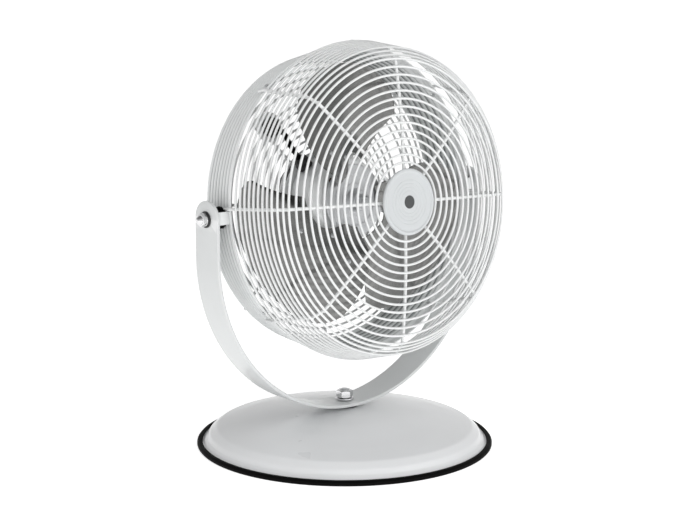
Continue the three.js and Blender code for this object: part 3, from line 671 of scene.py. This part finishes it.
def yoke_bar():
    """One flat bar: round end, straight arm, half circle, straight arm, round end."""
    mid_r = STRAP_R - STRAP_T / 2
    end = STRAP_WIDTH / 2
    arm_steps, end_steps, arc_steps = 3, 14, 90
    arm = []
    for k in range(end_steps):
        a = math.pi / 2 * (1 - k / end_steps)
        arm.append((PIVOT_Z + end * math.sin(a), max(1.2, STRAP_WIDTH * math.cos(a))))
    for k in range(arm_steps):
        arm.append((lerp(PIVOT_Z, STRAP_CENTRE_Z, k / arm_steps), STRAP_WIDTH))
    left = [((-mid_r, z), w) for z, w in arm]
    right = [((mid_r, z), w) for z, w in reversed(arm)]
    arc = []
    for k in range(arc_steps + 1):
        a = math.pi + math.pi * k / arc_steps
        arc.append(((mid_r * math.cos(a), STRAP_CENTRE_Z + mid_r * math.sin(a)), STRAP_WIDTH))
    stations = left + arc + right
    form = Form().strip([p for p, _ in stations], [w for _, w in stations], STRAP_T, 0.9)
    bar = put("yoke_bar", form, [YOKE_SHADED_ENAMEL], "yoke_strap", UPRIGHT)
    across = at(0, 0, PIVOT_Z) @ ALONG_X
    cut(bar, Form().rod(PIVOT_HOLE_R, -CUT_PAST_R, CUT_PAST_R, 32, across), UPRIGHT)
    cut(bar, Form().rod(YOKE_HOLE_R, 30, 70, 32), UPRIGHT)


def yoke_hardware():
    flat_ring("yoke_plain_washer", CHROME, "yoke_washer", (0.3, 0.3, 0.6, 0.4))
    form = Form().hexagon(17, box_low("yoke_nut", "z"), box_high("yoke_nut", "z"), hole=5.2)
    put("yoke_hex_nut", form, [CHROME], "yoke_nut", UPRIGHT)


# ---- pivots


def band_radius(s):
    share = (s - BAND_REAR_S) / (BAND_FRONT_S - BAND_REAR_S)
    return lerp(BAND_REAR_R, BAND_FRONT_R, share)


def pivot(name, side):
    """Bracket, bush, bolt, washer and cap nut of one pivot; side is -1 or 1 along x."""
    out = Matrix.Rotation(side * math.pi / 2, 4, "Y")

    # hat-shaped strip, bent from sheet, with both feet on the band
    top = BRACKET_TOP - BRACKET_T / 2
    reach = BRACKET_LEG - BRACKET_T / 2
    feet = [band_radius(side * end * BRACKET_LEG) + 1.2 for end in (-1, 1)]
    path = rounded([(-reach, feet[0], 0), (-reach, top, 3), (reach, top, 3), (reach, feet[1], 0)], steps=6)
    path = [(-side * x, z) for x, z in path]
    form = Form().strip(path, [BRACKET_HEIGHT] * len(path), BRACKET_T, 0.5, place=out)
    bracket = put(f"pivot_hat_{name}", form, [ENAMEL], f"pivot_bracket_{name}")
    cut(bracket, Form().rod(PIVOT_HOLE_R, CUT_FROM_R, CUT_TO_R, 32, out))

    foot, head = band_radius(BUSH_R) + 0.3, BRACKET_TOP - BRACKET_T - 0.3
    waist, waist_r = (foot + head) / 2, BUSH_R - 1.6
    form = Form().turned([
        (BUSH_BORE_R, foot, 0.3), (BUSH_R, foot, 0.8), (BUSH_R, waist - 1.5, 0.5),
        (waist_r, waist - 0.7, 0.4), (waist_r, waist + 0.7, 0.4), (BUSH_R, waist + 1.5, 0.5),
        (BUSH_R, head, 0.8), (BUSH_BORE_R, head, 0.3),
    ], 64, closed=True, steps=4, place=out)
    put(f"pivot_spacer_{name}", form, [RUBBER], f"pivot_bush_{name}")

    tip = STRAP_R + 7.5
    low = band_radius(-8.5) - SHEET - 4.3
    head_top, thread_from = low + 3, 181
    form = Form().turned([
        (0, low, 0), (3.5, low, 0.5), (7.2, low + 0.7, 1.5), (8.5, low + 2, 1), (8.5, head_top, 0.3),
        (PIVOT_BOLT_R, head_top, 0.3), (PIVOT_BOLT_R, thread_from + 1, 0), (0, thread_from + 1, 0),
    ], 48, place=out)
    form.thread(PIVOT_BOLT_R, thread_from, tip, 1.25, place=out)
    put(f"pivot_coach_bolt_{name}", form, [ZINC], f"pivot_bolt_{name}")

    washer = STRAP_R + 0.3
    form = Form().collar(BUSH_BORE_R, 9, washer, washer + 1.6, (0.3, 0.3, 0.7, 0.3), place=out)
    put(f"pivot_flat_washer_{name}", form, [PLASTIC], f"pivot_washer_{name}")

    seat = washer + 1.9
    form = Form().hexagon(13, seat + 0.6, seat + 5.8, place=out)
    form.turned([
        (0, seat, 0), (7.1, seat, 0.3), (7.1, seat + 0.7, 0.4), (6.3, seat + 1.4, 0), (0, seat + 1.4, 0),
    ], 64, place=out)
    form.turned([
        (0, seat + 5.2, 0), (5.4, seat + 5.2, 0.2), (5.2, seat + 6.6, 0.8), (3.9, seat + 8.4, 2.2),
        (2.2, seat + 10.6, 2.4), (0, seat + 10.6, 0),
    ], 64, steps=8, place=out)
    put(f"cap_nut_{name}", form, [CHROME], f"acorn_nut_{name}")


# ---- shroud and guards


def shroud():
    """Conical band: rolled hem at the front, rolled beads at the rear, and a rear lip."""
    outer = []
    steps = 150
    for k in range(steps + 1):
        s = lerp(BAND_REAR_S + 1.5, BAND_FRONT_S - 2.2, k / steps)
        depth = 0.0
        if s < RIB_FRONT_S + RIB_PITCH / 2:
            depth = RIB_DEPTH * (0.5 + 0.5 * math.cos(2 * math.pi * (RIB_FRONT_S - s) / RIB_PITCH))
        outer.append((band_radius(s) - depth, s))
    inner = [(r - SHEET, s) for r, s in reversed(outer)]
    hem_r = band_radius(BAND_FRONT_S - 1.2) - 0.4
    hem = []
    for k in range(HEM_STEPS + 1):
        a = math.radians(lerp(HEM_FROM_DEG, HEM_TO_DEG, k / HEM_STEPS))
        hem.append((hem_r + HEM_R * math.cos(a) - 0.2, BAND_FRONT_S - HEM_R + HEM_R * math.sin(a)))
    lip = rounded([
        (BAND_REAR_R - SHEET - 0.5, BAND_REAR_S + SHEET, 0), (BAND_LIP_R, BAND_REAR_S + SHEET, 0.5),
        (BAND_LIP_R, BAND_REAR_S, 0.5), (BAND_REAR_R, BAND_REAR_S, 1.6), (*outer[0], 0),
    ], steps=5)
    profile = outer + hem + inner + lip[:-1]
    band = put("shroud_drum", Form().lathe(profile, 200, closed=True), [BAND_ENAMEL], "shroud_band")
    holes = Form().rod(PIVOT_HOLE_R, -CUT_PAST_R, CUT_PAST_R, 24, ALONG_X)
    for deg in SCREW_ANGLES:
        holes.rod(SCREW_HOLE_R, CUT_FROM_R, CUT_TO_R, 20, radial(deg, SCREW_S))
    cut(band, holes)


def face_s(r):
    return FACE_S - FACE_DROP * ((r - FACE_FIRST_R) / (FACE_LAST_R - FACE_FIRST_R)) ** FACE_CURVE


def front_rings():
    """(radius, s) of every ring wire: the face, the corner, then back along the side."""
    rings = []
    for k in range(FACE_RINGS):
        r = lerp(FACE_FIRST_R, FACE_LAST_R, k / (FACE_RINGS - 1))
        rings.append((r, face_s(r)))
    last_r, last_s = rings[-1]
    for k in (1, 2, 3):
        rings.append((lerp(last_r, CORNER_R, k / 3), lerp(last_s, CORNER_S, k / 3)))
    for k in range(1, SIDE_RINGS + 1):
        t = k / SIDE_RINGS
        rings.append((lerp(CORNER_R, SIDE_LAST_R, t), lerp(CORNER_S, SIDE_LAST_S, t)))
    return rings


def weld(form, place):
    """The low swelling of paint and metal where two wires are welded."""
    form.lathe([(0, -1.5), (1.5, -0.9), (2.2, 0), (1.5, 0.9), (0, 1.5)], 8, place=place)


def front_guard():
    form = Form()
    rings = front_rings()
    for r, s in rings:
        form.wire_ring(r, s, RING_WIRE)
    sunk = RING_WIRE + SPOKE_WIRE - WELD_SINK
    on_band = SPOKE_WIRE + 0.3
    face = [(24, FACE_S - sunk, 0), (FACE_FIRST_R, FACE_S - sunk, 40)]
    face += [(r, face_s(r) - sunk, 60) for r in (80, 112, 140)]
    path = rounded([
        *face, (FACE_LAST_R - 1, face_s(FACE_LAST_R) - sunk, 12),
        (CORNER_R - sunk - 1.5, CORNER_S + 1.5, 9), (SIDE_LAST_R - sunk, SIDE_LAST_S, 6),
        (band_radius(BAND_FRONT_S + 2) + on_band, BAND_FRONT_S + 2, 5),
        (band_radius(SPOKE_END_S) + on_band, SPOKE_END_S, 0),
    ], steps=6)
    for k in range(SPOKES):
        place = turned_to(SPOKE_TWIST + 360 / SPOKES * k)
        form.wire([(r, 0, s) for r, s in path], SPOKE_WIRE, place=place)
        for i, (r, s) in enumerate(rings):
            outward = 0 if i < FACE_RINGS else (45 if i < FACE_RINGS + 2 else 80)
            tilt = Matrix.Rotation(math.radians(outward), 4, "Y")
            weld(form, place @ at(r, 0, s) @ tilt @ at(0, 0, -RING_WIRE))
    form.turned([
        (0, FACE_S - 3.4, 0), (27, FACE_S - 3.4, 0.8), (30, FACE_S - 1, 1), (30, FACE_S + 1.2, 0.8),
        (0, FACE_S + 1.2, 0),
    ], 72)
    put("front_wire_guard", form, [WIRE_ENAMEL], "front_guard", sharp_deg=60)


def badge():
    """Plain dished disc with a raised rim, fine turned rings and a dark centre dot."""
    low, seat = FACE_S + 2.7, FACE_S + 3.5
    face = [(0, seat + 2.0, 0)]
    dot_r = 7.5
    for r in (12, 16, 20, 24):
        face += [(r, seat + 1.95, 0.2), (r + 0.35, seat + 1.6, 0.1), (r + 0.7, seat + 1.95, 0.2)]
    form = Form().turned([
        *face, (BADGE_R - 5.6, seat + 1.7, 0.8), (BADGE_R - 4.4, seat + 1.7, 0.5),
        (BADGE_R - 3.2, seat + 2.6, 0.8), (BADGE_R - 0.8, seat + 2.2, 0.8), (BADGE_R, seat + 0.6, 0.6),
        (BADGE_R, low, 0.5), (BADGE_R - 1.2, low, 0.2), (BADGE_R - 2.2, seat + 0.4, 0.5), (0, seat + 0.4, 0),
    ], 128, steps=4)
    form.turned([
        (0, seat + 2.35, 0), (dot_r - 0.6, seat + 2.3, 0.4), (dot_r, seat + 1.8, 0.2), (0, seat + 1.8, 0),
    ], 64, tone=1, steps=4)
    put("front_disc_badge", form, [BADGE, BADGE_DARK], "front_badge")


def rear_guard():
    form = Form()
    radii = [lerp(REAR_FIRST_R, REAR_LAST_R, k / (REAR_RINGS - 1)) for k in range(REAR_RINGS)]
    gland_place = turned_to(GLAND_DEG) @ at(GLAND_R, 0)
    for r in radii:
        form.wire_ring(r, REAR_RING_S, RING_WIRE)
    path = rounded([
        (44, REAR_SPOKE_S, 0), (148, REAR_SPOKE_S, 20), (158, REAR_SPOKE_S + 1.4, 20),
        (164, REAR_SPOKE_S + 3.1, 0),
    ], steps=5)
    for k in range(SPOKES):
        place = turned_to(SPOKE_TWIST + 360 / SPOKES * k)
        form.wire([(r, 0, s) for r, s in path], SPOKE_WIRE, place=place)
        for r in radii:
            weld(form, place @ at(r, 0, REAR_RING_S - RING_WIRE))
    guard = put("rear_wire_guard", form, [WIRE_ENAMEL], "rear_guard", sharp_deg=60)
    cut(guard, Form().rod(14, -60, -30, 40, gland_place), sharp_deg=60)
    plate = Form().turned([
        (22, PLATE_S - 2.4, 0.4), (PLATE_R - 1.5, PLATE_S - 2.4, 1), (PLATE_R, PLATE_S - 1.2, 0.6),
        (PLATE_R, PLATE_S, 0.5), (22, PLATE_S, 0.4),
    ], 96, closed=True)
    plate.collar(8.7, 17, PLATE_S - 2.3, PLATE_S, (0.3, 0.8, 0.6, 0.3), place=gland_place)
    put("rear_guard_plates", plate, [ENAMEL], "rear_guard")


# ---- screws


def screw_head(radius, deep, base, point):
    """Pan head over a threaded shank, about +Z; base is the underside of the head."""
    form = Form().turned([
        (0, base, 0), (radius, base, 0.3), (radius, base + deep * 0.35, 0.6),
        (radius * 0.72, base + deep * 0.9, 1.6), (0, base + deep, 0),
    ], 40)
    form.thread(SCREW_SHANK_R, -0.6, base - point, 0.8, place=at(0, 0, base) @ UPSIDE_DOWN)
    return form


def cross_recess(radius, base, deep):
    form = Form()
    for deg in (0, 90):
        form.block((radius * 1.1, radius * 0.26, deep), (0, 0, base + deep), 0.15, place=turned_to(deg))
    return form


def screw(name, node, place, radius, deep, base, point):
    piece = put(name, screw_head(radius, deep, base, point), [ZINC], node, place)
    cut(piece, cross_recess(radius, base, deep), place)


def screws():
    surface = band_radius(SCREW_S)
    for i, deg in enumerate(SCREW_ANGLES, 1):
        place = HEAD @ radial(deg, SCREW_S)
        screw(f"guard_pan_screw_{i}", f"guard_screw_{i}", place, 4.2, 2.6, surface + 0.5, surface - 6)
    for i, spot in enumerate(motor_screw_places(PLATE_S - 2.8), 1):
        place = HEAD @ spot @ UPSIDE_DOWN
        screw(f"motor_pan_screw_{i}", f"motor_screw_{i}", place, 4, 2.8, 0, -9)


# ---- motor


def motor():
    nose = MOTOR_FRONT
    wall = 3.0
    seat = 13.3
    form = Form().turned([
        (MOTOR_R - wall, MOTOR_SPLIT + 0.3, 0.3), (MOTOR_R, MOTOR_SPLIT + 0.3, 0.8),
        (MOTOR_R, nose - 7, 3), (MOTOR_R - 6, nose, 5), (24, nose + 1.6, 3), (16, nose + 4.4, 3),
        (7, nose + 4.4, 0.6), (7, nose + 1, 0), (seat, nose + 1, 0), (seat, nose - 8, 0),
        (seat + 3, nose - 8, 0.5), (seat + 4, nose - wall, 1), (MOTOR_R - 9, nose - wall - 1, 3),
        (MOTOR_R - wall, nose - 9, 3),
    ], 120, closed=True)
    shell = put("motor_front_bell", form, [MOTOR_METAL], "motor_front_shell")
    slots = Form()
    for k in range(MOTOR_SLOTS):
        slots.block((16, 8, 30), (30, 0, nose), 3.9, place=turned_to(360 / MOTOR_SLOTS * k))
    cut(shell, slots)

    floor = MOTOR_REAR + wall
    form = Form().turned([
        (7, MOTOR_REAR, 0.5), (MOTOR_R - 5, MOTOR_REAR, 2), (MOTOR_R, MOTOR_REAR + 5, 3),
        (MOTOR_R, MOTOR_SPLIT, 0.8), (MOTOR_R - wall, MOTOR_SPLIT, 0.3),
        (MOTOR_R - wall, floor + 2, 2), (MOTOR_R - wall - 3, floor, 2), (seat + 3, floor, 0.5),
        (seat + 3, floor + 9, 0.5), (seat, floor + 9, 0.3), (seat, floor, 0), (7, floor, 0.3),
    ], 120, closed=True)
    shell = put("motor_rear_bell", form, [MOTOR_METAL], "motor_rear_shell")
    holes = Form().rod(5, MOTOR_R - 14, MOTOR_R + 14, 32, radial(GLAND_DEG, LEAD_S))
    for spot in motor_screw_places():
        holes.rod(2.5, MOTOR_REAR - 9, MOTOR_REAR + 9, 20, spot)
    cut(shell, holes)


def shaft():
    rear = -35.4
    front = HUB_HIGH + 7.6
    form = Form().turned([
        (0, rear, 0), (SHAFT_R, rear, 0.8), (SHAFT_R, front - 10, 0), (0, front - 10, 0),
    ], 48)
    form.thread(SHAFT_R, front - 11, front, 1.25)
    put("turned_shaft", form, [STEEL], "motor_shaft")


# ---- impeller


def blade_s(r, angle):
    twist = smoothstep(r, BLADE_FLAT_FROM, BLADE_FLAT_TO)
    return BLADE_MID_S + BLADE_RISE * angle * (1 - 0.12 * angle * angle) * twist


def corner_cut(v, start):
    """How far a rounded corner has cut in (0 to 1) at v."""
    t = clamp((v - start) / (1 - start))
    return 1 - math.sqrt(1 - t * t)


def blade_spot(u, v):
    """Radius and angle from the rear edge (u 0) to the front edge (u 1), root (v 0) to tip (v 1)."""
    swell_to, sweep_from, sweep_length = 0.75, 0.35, 0.65
    rear_corner, front_corner = 0.68, 0.8
    swell = min(1.0, v / swell_to) ** 1.5
    sweep = max(0.0, (v - sweep_from) / sweep_length) ** 1.2
    rear = -(REAR_EDGE_DEG + REAR_SWELL_DEG * swell - REAR_CORNER_DEG * corner_cut(v, rear_corner))
    front = FRONT_EDGE_DEG - FRONT_SWEEP_DEG * sweep - FRONT_CORNER_DEG * corner_cut(v, front_corner)
    root_r = lerp(BLADE_REAR_ROOT_R, BLADE_FRONT_ROOT_R, smoothstep(u, 0.35, 0.7))
    return lerp(root_r, BLADE_TIP_R, v), math.radians(lerp(rear, front, u))


def on_blade(r, angle, lift=0.0):
    return polar(r, angle, blade_s(r, angle) + lift)


def rivet(form, r, deg, blade_deg, front):
    """The head of a rivet on the front or the rear of a blade; deg is measured from its middle."""
    s = blade_s(r, math.radians(deg)) + (BLADE_T / 2 if front else -BLADE_T / 2 - ARM_T - 0.5)
    lean = Matrix.Rotation(math.atan2(BLADE_RISE, r), 4, "X")
    flip = Matrix.Identity(4) if front else UPSIDE_DOWN
    place = turned_to(blade_deg + deg) @ at(r, 0, s) @ lean @ flip
    form.turned([
        (0, -0.4, 0), (3.1, -0.4, 0), (3.1, 0.3, 0.3), (2.1, 1.3, 1.2), (0, 1.6, 0),
    ], 20, steps=4, place=place, tone=1)


def blade(index):
    """Paddle blade on a helical surface, pressed from sheet with a fine rounded edge."""
    deg = BLADE_FIRST_DEG + 360 / BLADES * index
    around, along = 40, 34
    rows = []
    for j in range(along + 1):
        v = 1 - (1 - j / along) ** 1.5
        rows.append([on_blade(*blade_spot(i / around, v)) for i in range(around + 1)])
    form = Form().grid(rows, wrap_columns=False, place=turned_to(deg))
    piece = put(f"paddle_{index + 1}", form, [BLADE_METAL], f"blade_{index + 1}")
    refine(
        piece,
        ("SOLIDIFY", {"thickness": (BLADE_T - 0.2) * MM, "offset": 0.0}),
        ("BEVEL", {"width": 0.55 * MM, "segments": 3, "limit_method": "ANGLE",
                   "angle_limit": math.radians(BLADE_SHARP_DEG)}),
        sharp_deg=BLADE_SHARP_DEG,
    )


def arm(form, blade_deg):
    """A widening arm behind a blade, with its rivets."""
    across, along = 20, 30
    widen_from, widen_to = 0.35, 0.75
    end_from, end_length, end_depth = 0.84, 0.16, 0.97
    place = turned_to(blade_deg)
    behind = -BLADE_T / 2 - 0.4
    rows = []
    for j in range(along + 1):
        v = j / along
        r = lerp(ARM_FROM_R, ARM_TO_R, v)
        half = lerp(ARM_NARROW_DEG, ARM_WIDE_DEG, smoothstep(v, widen_from, widen_to))
        half *= math.sqrt(1 - end_depth * clamp((v - end_from) / end_length) ** 2)
        angles = [math.radians(half * (2 * i / across - 1)) for i in range(across + 1)]
        upper = [on_blade(r, angle, behind) for angle in angles]
        under = [on_blade(r, angle, behind - ARM_T) for angle in angles]
        rows.append(upper + under[::-1])
    form.grid(rows, place=place)
    form.cap(rows[0], place)
    form.cap(rows[-1], place)
    for r, deg in RIVETS:
        for front in (True, False):
            rivet(form, r, deg, blade_deg, front)


def spider():
    """Hub with a stamped plate and three arms that follow the pitch of the blades."""
    plate = HUB_PLATE_TOP
    form = Form().turned([
        (HUB_BORE_R, HUB_LOW, 0.4), (HUB_PLATE_R - 1, HUB_LOW, 0.8),
        (HUB_PLATE_R, HUB_LOW + 1.2, 0.8), (HUB_PLATE_R - 1, plate, 0.8), (29, plate, 0.6),
        (27.5, plate - 0.8, 0.6), (20, plate - 0.8, 0.6), (18.5, plate, 0.6), (13, plate, 1.2),
        (11, HUB_HIGH, 1), (HUB_BORE_R, HUB_HIGH, 0.4),
    ], 72, closed=True, steps=4)
    for k in range(BLADES):
        arm(form, BLADE_FIRST_DEG + 360 / BLADES * k)
    put("riveted_spider", form, [SPIDER, ZINC], "blade_spider")

    form = Form().hexagon(13, HUB_HIGH + 0.3, HUB_HIGH + 7, hole=HUB_BORE_R)
    put("hub_hex_nut", form, [ZINC], "hub_nut")


# ---- wiring


def gland_form(form, low, flats, place):
    """Cable gland: hexagon body and ribbed dome, about +Z."""
    form.hexagon(flats, low, low + 6.6, hole=GLAND_BORE_R, place=place)
    around, rib_rise, rib_steps = 72, 0.035, 3
    dome = ((0, 6.4, 0), (0.46, 6.4, rib_rise), (0.46, 9.5, rib_rise), (0.43, 12.2, rib_rise),
            (0.34, 13.8, 0), (0, 13.8, 0))
    rows = []
    for share, h, rise in dome:
        row = []
        for k, a in enumerate(turns(around)):
            rib = 1 + (rise if (k // rib_steps) % 2 else 0)
            row.append(polar(max(GLAND_BORE_R, flats * share * rib), a, low + h))
        rows.append(row)
    return form.grid(rows, wrap_rows=True, place=place)


def wiring():
    out = radial(GLAND_DEG, LEAD_S)
    form = gland_form(Form(), MOTOR_R + 1.2, 18, out)
    form.collar(GLAND_BORE_R, 4.7, MOTOR_R - 4, MOTOR_R + 2, (0.3, 0.3, 0, 0), 32, out)
    put("motor_cable_gland", form, [PLASTIC], "motor_gland")

    low = PLATE_S - 2.2
    spot = turned_to(GLAND_DEG) @ at(GLAND_R, 0)
    form = Form().collar(GLAND_BORE_R, 8, low - 3, low + 4, (0.2, 0.2, 0.2, 0.2), 48, spot)
    form.hexagon(22, low + 2.8, low + 8, hole=GLAND_BORE_R, place=spot)
    gland_form(form, 0.5, 20, spot @ at(0, 0, low) @ UPSIDE_DOWN)
    put("inlet_cable_gland", form, [PLASTIC], "cord_gland")

    route = smooth_path([Vector((r, 0, s)) for r, s in (
        (MOTOR_R - 2, LEAD_S), (MOTOR_R + 18, LEAD_S), (MOTOR_R + 34, LEAD_S + 1),
        (GLAND_R - 14, LEAD_S + 5), (GLAND_R - 3, LEAD_S + 3), (GLAND_R, LEAD_S - 4),
        (GLAND_R, PLATE_S + 3),
    )])
    form = Form().wire(route, LEAD_R, sides=20, place=turned_to(GLAND_DEG))
    put("sheathed_lead", form, [RUBBER], "motor_lead")


# ---- rear control


def numeral(text, place):
    """A printed numeral as thin raised mesh."""
    curve = bpy.data.curves.new(f"numeral_{text}", "FONT")
    curve.body = text
    curve.size = NUMERAL_SIZE * MM
    curve.extrude = 0.12 * MM
    curve.align_x = "CENTER"
    curve.align_y = "CENTER"
    source = linked(curve.name, curve)
    graph = bpy.context.evaluated_depsgraph_get()
    data = bpy.data.meshes.new_from_object(source.evaluated_get(graph))
    bpy.data.objects.remove(source)
    data.transform(place)
    data.materials.clear()
    data.materials.append(PRINT)
    piece = linked(f"dial_numeral_{text}", data)
    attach(piece, BODIES["switch_cover"])


def control():
    """Round cover over the back of the motor, with a knob and a dial of four positions."""
    top = PLATE_S - 2.8
    wall = 2.2
    form = Form().turned([
        (BORE_R, COVER_REAR, 0.4), (COVER_R - 7, COVER_REAR, 7), (COVER_R - 0.6, COVER_REAR + 7, 5),
        (COVER_R, top, 0.5), (COVER_R - wall, top, 0.4), (COVER_R - wall - 1, COVER_REAR + 8, 4),
        (COVER_R - 10, COVER_REAR + wall, 4), (BORE_R, COVER_REAR + wall, 0.3),
    ], 128, closed=True, steps=6)
    cover = put("rear_cover", form, [PLASTIC], "switch_cover")
    slots = Form()
    for spot in motor_screw_places():
        slots.rod(5, top - 4, top + 4, 24, spot)
    # air slots low on the cover's side
    for k in range(AIR_SLOTS):
        place = turned_to(360 / AIR_SLOTS * (k + 0.5))
        slots.block((14, 1.8, 11), (COVER_R, 0, COVER_REAR + 18), 0.8, place=place)
    cut(cover, slots)
    knob()
    for text, deg in (("0", 90), ("1", 45), ("2", 0), ("3", -45)):
        spot = at(*polar(DIAL_R, math.radians(deg), COVER_REAR - 0.06))
        numeral(text, HEAD @ spot @ Matrix.Rotation(math.pi, 4, "Y"))


def knob():
    """Fluted knob with a skirt, a shaft into the switch and a raised pointer."""
    skirt = COVER_REAR - 0.8
    end = COVER_REAR - KNOB_DEEP
    around, flutes, flute_depth = 120, 20, 0.03
    rows = [[(0, 0, skirt)]]
    for share, s, depth in (
        (1.0, skirt, 0), (1.0, skirt - 2.2, 0), (0.93, skirt - 2.8, flute_depth),
        (0.9, end + 1.2, flute_depth), (0.84, end, flute_depth),
    ):
        row = []
        for a in turns(around):
            flute = 1 - depth * (0.5 + 0.5 * math.cos(flutes * a))
            row.append(polar(KNOB_R * share * flute, a, s))
        rows.append(row)
    form = Form().grid([*rows, [(0, 0, end)]])
    form.turned([
        (0, skirt + 1, 0), (2.9, skirt + 1, 0), (2.9, COVER_REAR + 8.5, 0.4), (0, COVER_REAR + 8.5, 0),
    ], 32)
    form.block((3, KNOB_R, 2.2), (0, KNOB_R / 2 - 1, end - 0.7), 1.2)
    form.block((0.9, KNOB_R * 0.6, 0.3), (0, KNOB_R / 2 + 1.5, end - 1.9), 0.3, tone=1)
    put("fluted_knob", form, [PLASTIC, PRINT], "speed_knob")


def kept_pieces():
    """Finishes for the CAD pieces inside, which stay as they are."""
    kept = {
        "stator_core": LAMINATION, "rotor_core": LAMINATION, "stator_winding": COPPER,
        "bearing_front": STEEL, "bearing_rear": STEEL, "rotary_switch": PLASTIC,
        "capacitor": MOTOR_METAL,
    }
    for node, material in kept.items():
        for slot in frame["nodes"][node].material_slots:
            slot.material = material


# ---- studio

# brightness at heights of the sky, as the upward share of a direction
SKY_LEVELS = [(0.1, 0.82), (0.4, 0.66), (0.75, 0.28), (1.0, 0.12)]
# direction, cosines of the edge and of the core, change of brightness in the core
SKY_SPOTS = [((0.9, -0.42, 0.05), 0.8, 0.97, 0.6), ((0.45, -0.83, 0.34), 0.86, 0.98, 1.8)]
FLOOR_HALF, FLOOR_GLOW = 30.0, 0.74
LIGHT_AIM = (0, 0, 0.24)

CAMERA_AZIMUTH, CAMERA_ELEVATION = -40.16, 11.25
CAMERA_DISTANCE, CAMERA_LENS, CAMERA_SENSOR, CAMERA_FAR = 2.25, 105.67, 36.0, 200.0
CAMERA_AIM = Vector((-0.00908, 0, 0.22284))


def floor():
    """A pale floor that glows a little, so that it stays near white under soft light."""
    size = FLOOR_HALF
    data = bpy.data.meshes.new("floor")
    corners = [(-size, -size, 0), (size, -size, 0), (size, size, 0), (-size, size, 0)]
    data.from_pydata(corners, [], [(0, 1, 2, 3)])
    material = finish("studio_floor", (0.86, 0.86, 0.86), 0.7, vary=0.01, blotch=2, bump=0.0)
    tree = material.node_tree
    glow = {"Emission Color": (1, 1, 1, 1), "Emission Strength": FLOOR_GLOW}
    feed(tree, tree.nodes["Principled BSDF"], glow)
    data.materials.append(material)
    linked("floor", data)


def area_light(name, place, size, power):
    light = bpy.data.lights.new(name, "AREA")
    light.energy = power
    light.shape = "RECTANGLE"
    light.size = size
    light.size_y = size
    lamp = linked(name, light)
    lamp.visible_glossy = False
    lamp.location = place
    lamp.rotation_euler = (Vector(LIGHT_AIM) - Vector(place)).to_track_quat("-Z", "Y").to_euler()


def sky():
    """Light that is bright near the horizon and dim overhead, with a dark and a bright spot."""
    world = bpy.data.worlds.new("studio")
    world.use_nodes = True
    bpy.context.scene.world = world
    tree = world.node_tree
    spot = add_node(tree, "TexCoord").outputs["Generated"]
    height = add_node(tree, "SeparateXYZ", {"Vector": spot}).outputs["Z"]
    light = add_ramp(tree, height, [(position, (level, level, level)) for position, level in SKY_LEVELS])
    for direction, edge, core, level in SKY_SPOTS:
        towards = add_node(tree, "VectorMath", {0: spot, 1: Vector(direction).normalized()},
                           operation="DOT_PRODUCT")
        change = add_node(tree, "MapRange", {
            "Value": towards.outputs["Value"], "From Min": edge, "From Max": core,
            "To Min": 1.0, "To Max": level,
        }, interpolation_type="SMOOTHSTEP")
        scaled = {0: light, "Scale": change.outputs["Result"]}
        light = add_node(tree, "VectorMath", scaled, operation="SCALE").outputs["Vector"]
    feed(tree, tree.nodes["Background"], {"Color": light, "Strength": 1.0})


def studio():
    floor()
    sky()
    area_light("key_softbox", (-2.1, -2.1, 0.75), 0.7, 5)
    area_light("front_softbox", (0.2, -2.8, 1.0), 1.4, 3)
    area_light("top_softbox", (-0.3, -1.6, 1.9), 2.0, 18)
    bpy.context.scene.view_settings.view_transform = "Standard"


def camera():
    azimuth, elevation = math.radians(CAMERA_AZIMUTH), math.radians(CAMERA_ELEVATION)
    back = Vector((
        math.sin(azimuth) * math.cos(elevation),
        -math.cos(azimuth) * math.cos(elevation),
        math.sin(elevation),
    ))
    data = bpy.data.cameras.new("camera")
    data.lens = CAMERA_LENS
    data.sensor_width = CAMERA_SENSOR
    data.clip_end = CAMERA_FAR
    eye = linked("camera", data)
    eye.location = CAMERA_AIM + back * CAMERA_DISTANCE
    eye.rotation_euler = (-back).to_track_quat("-Z", "Y").to_euler()
    bpy.context.scene.camera = eye


# ---- making

camera()
studio()
base_pan()
base_trim()
base_inside()
yoke_bar()
yoke_hardware()
pivot("left", -1)
pivot("right", 1)
shroud()
front_guard()
badge()
rear_guard()
screws()
motor()
shaft()
for blade_index in range(BLADES):
    blade(blade_index)
spider()
wiring()
control()
kept_pieces()
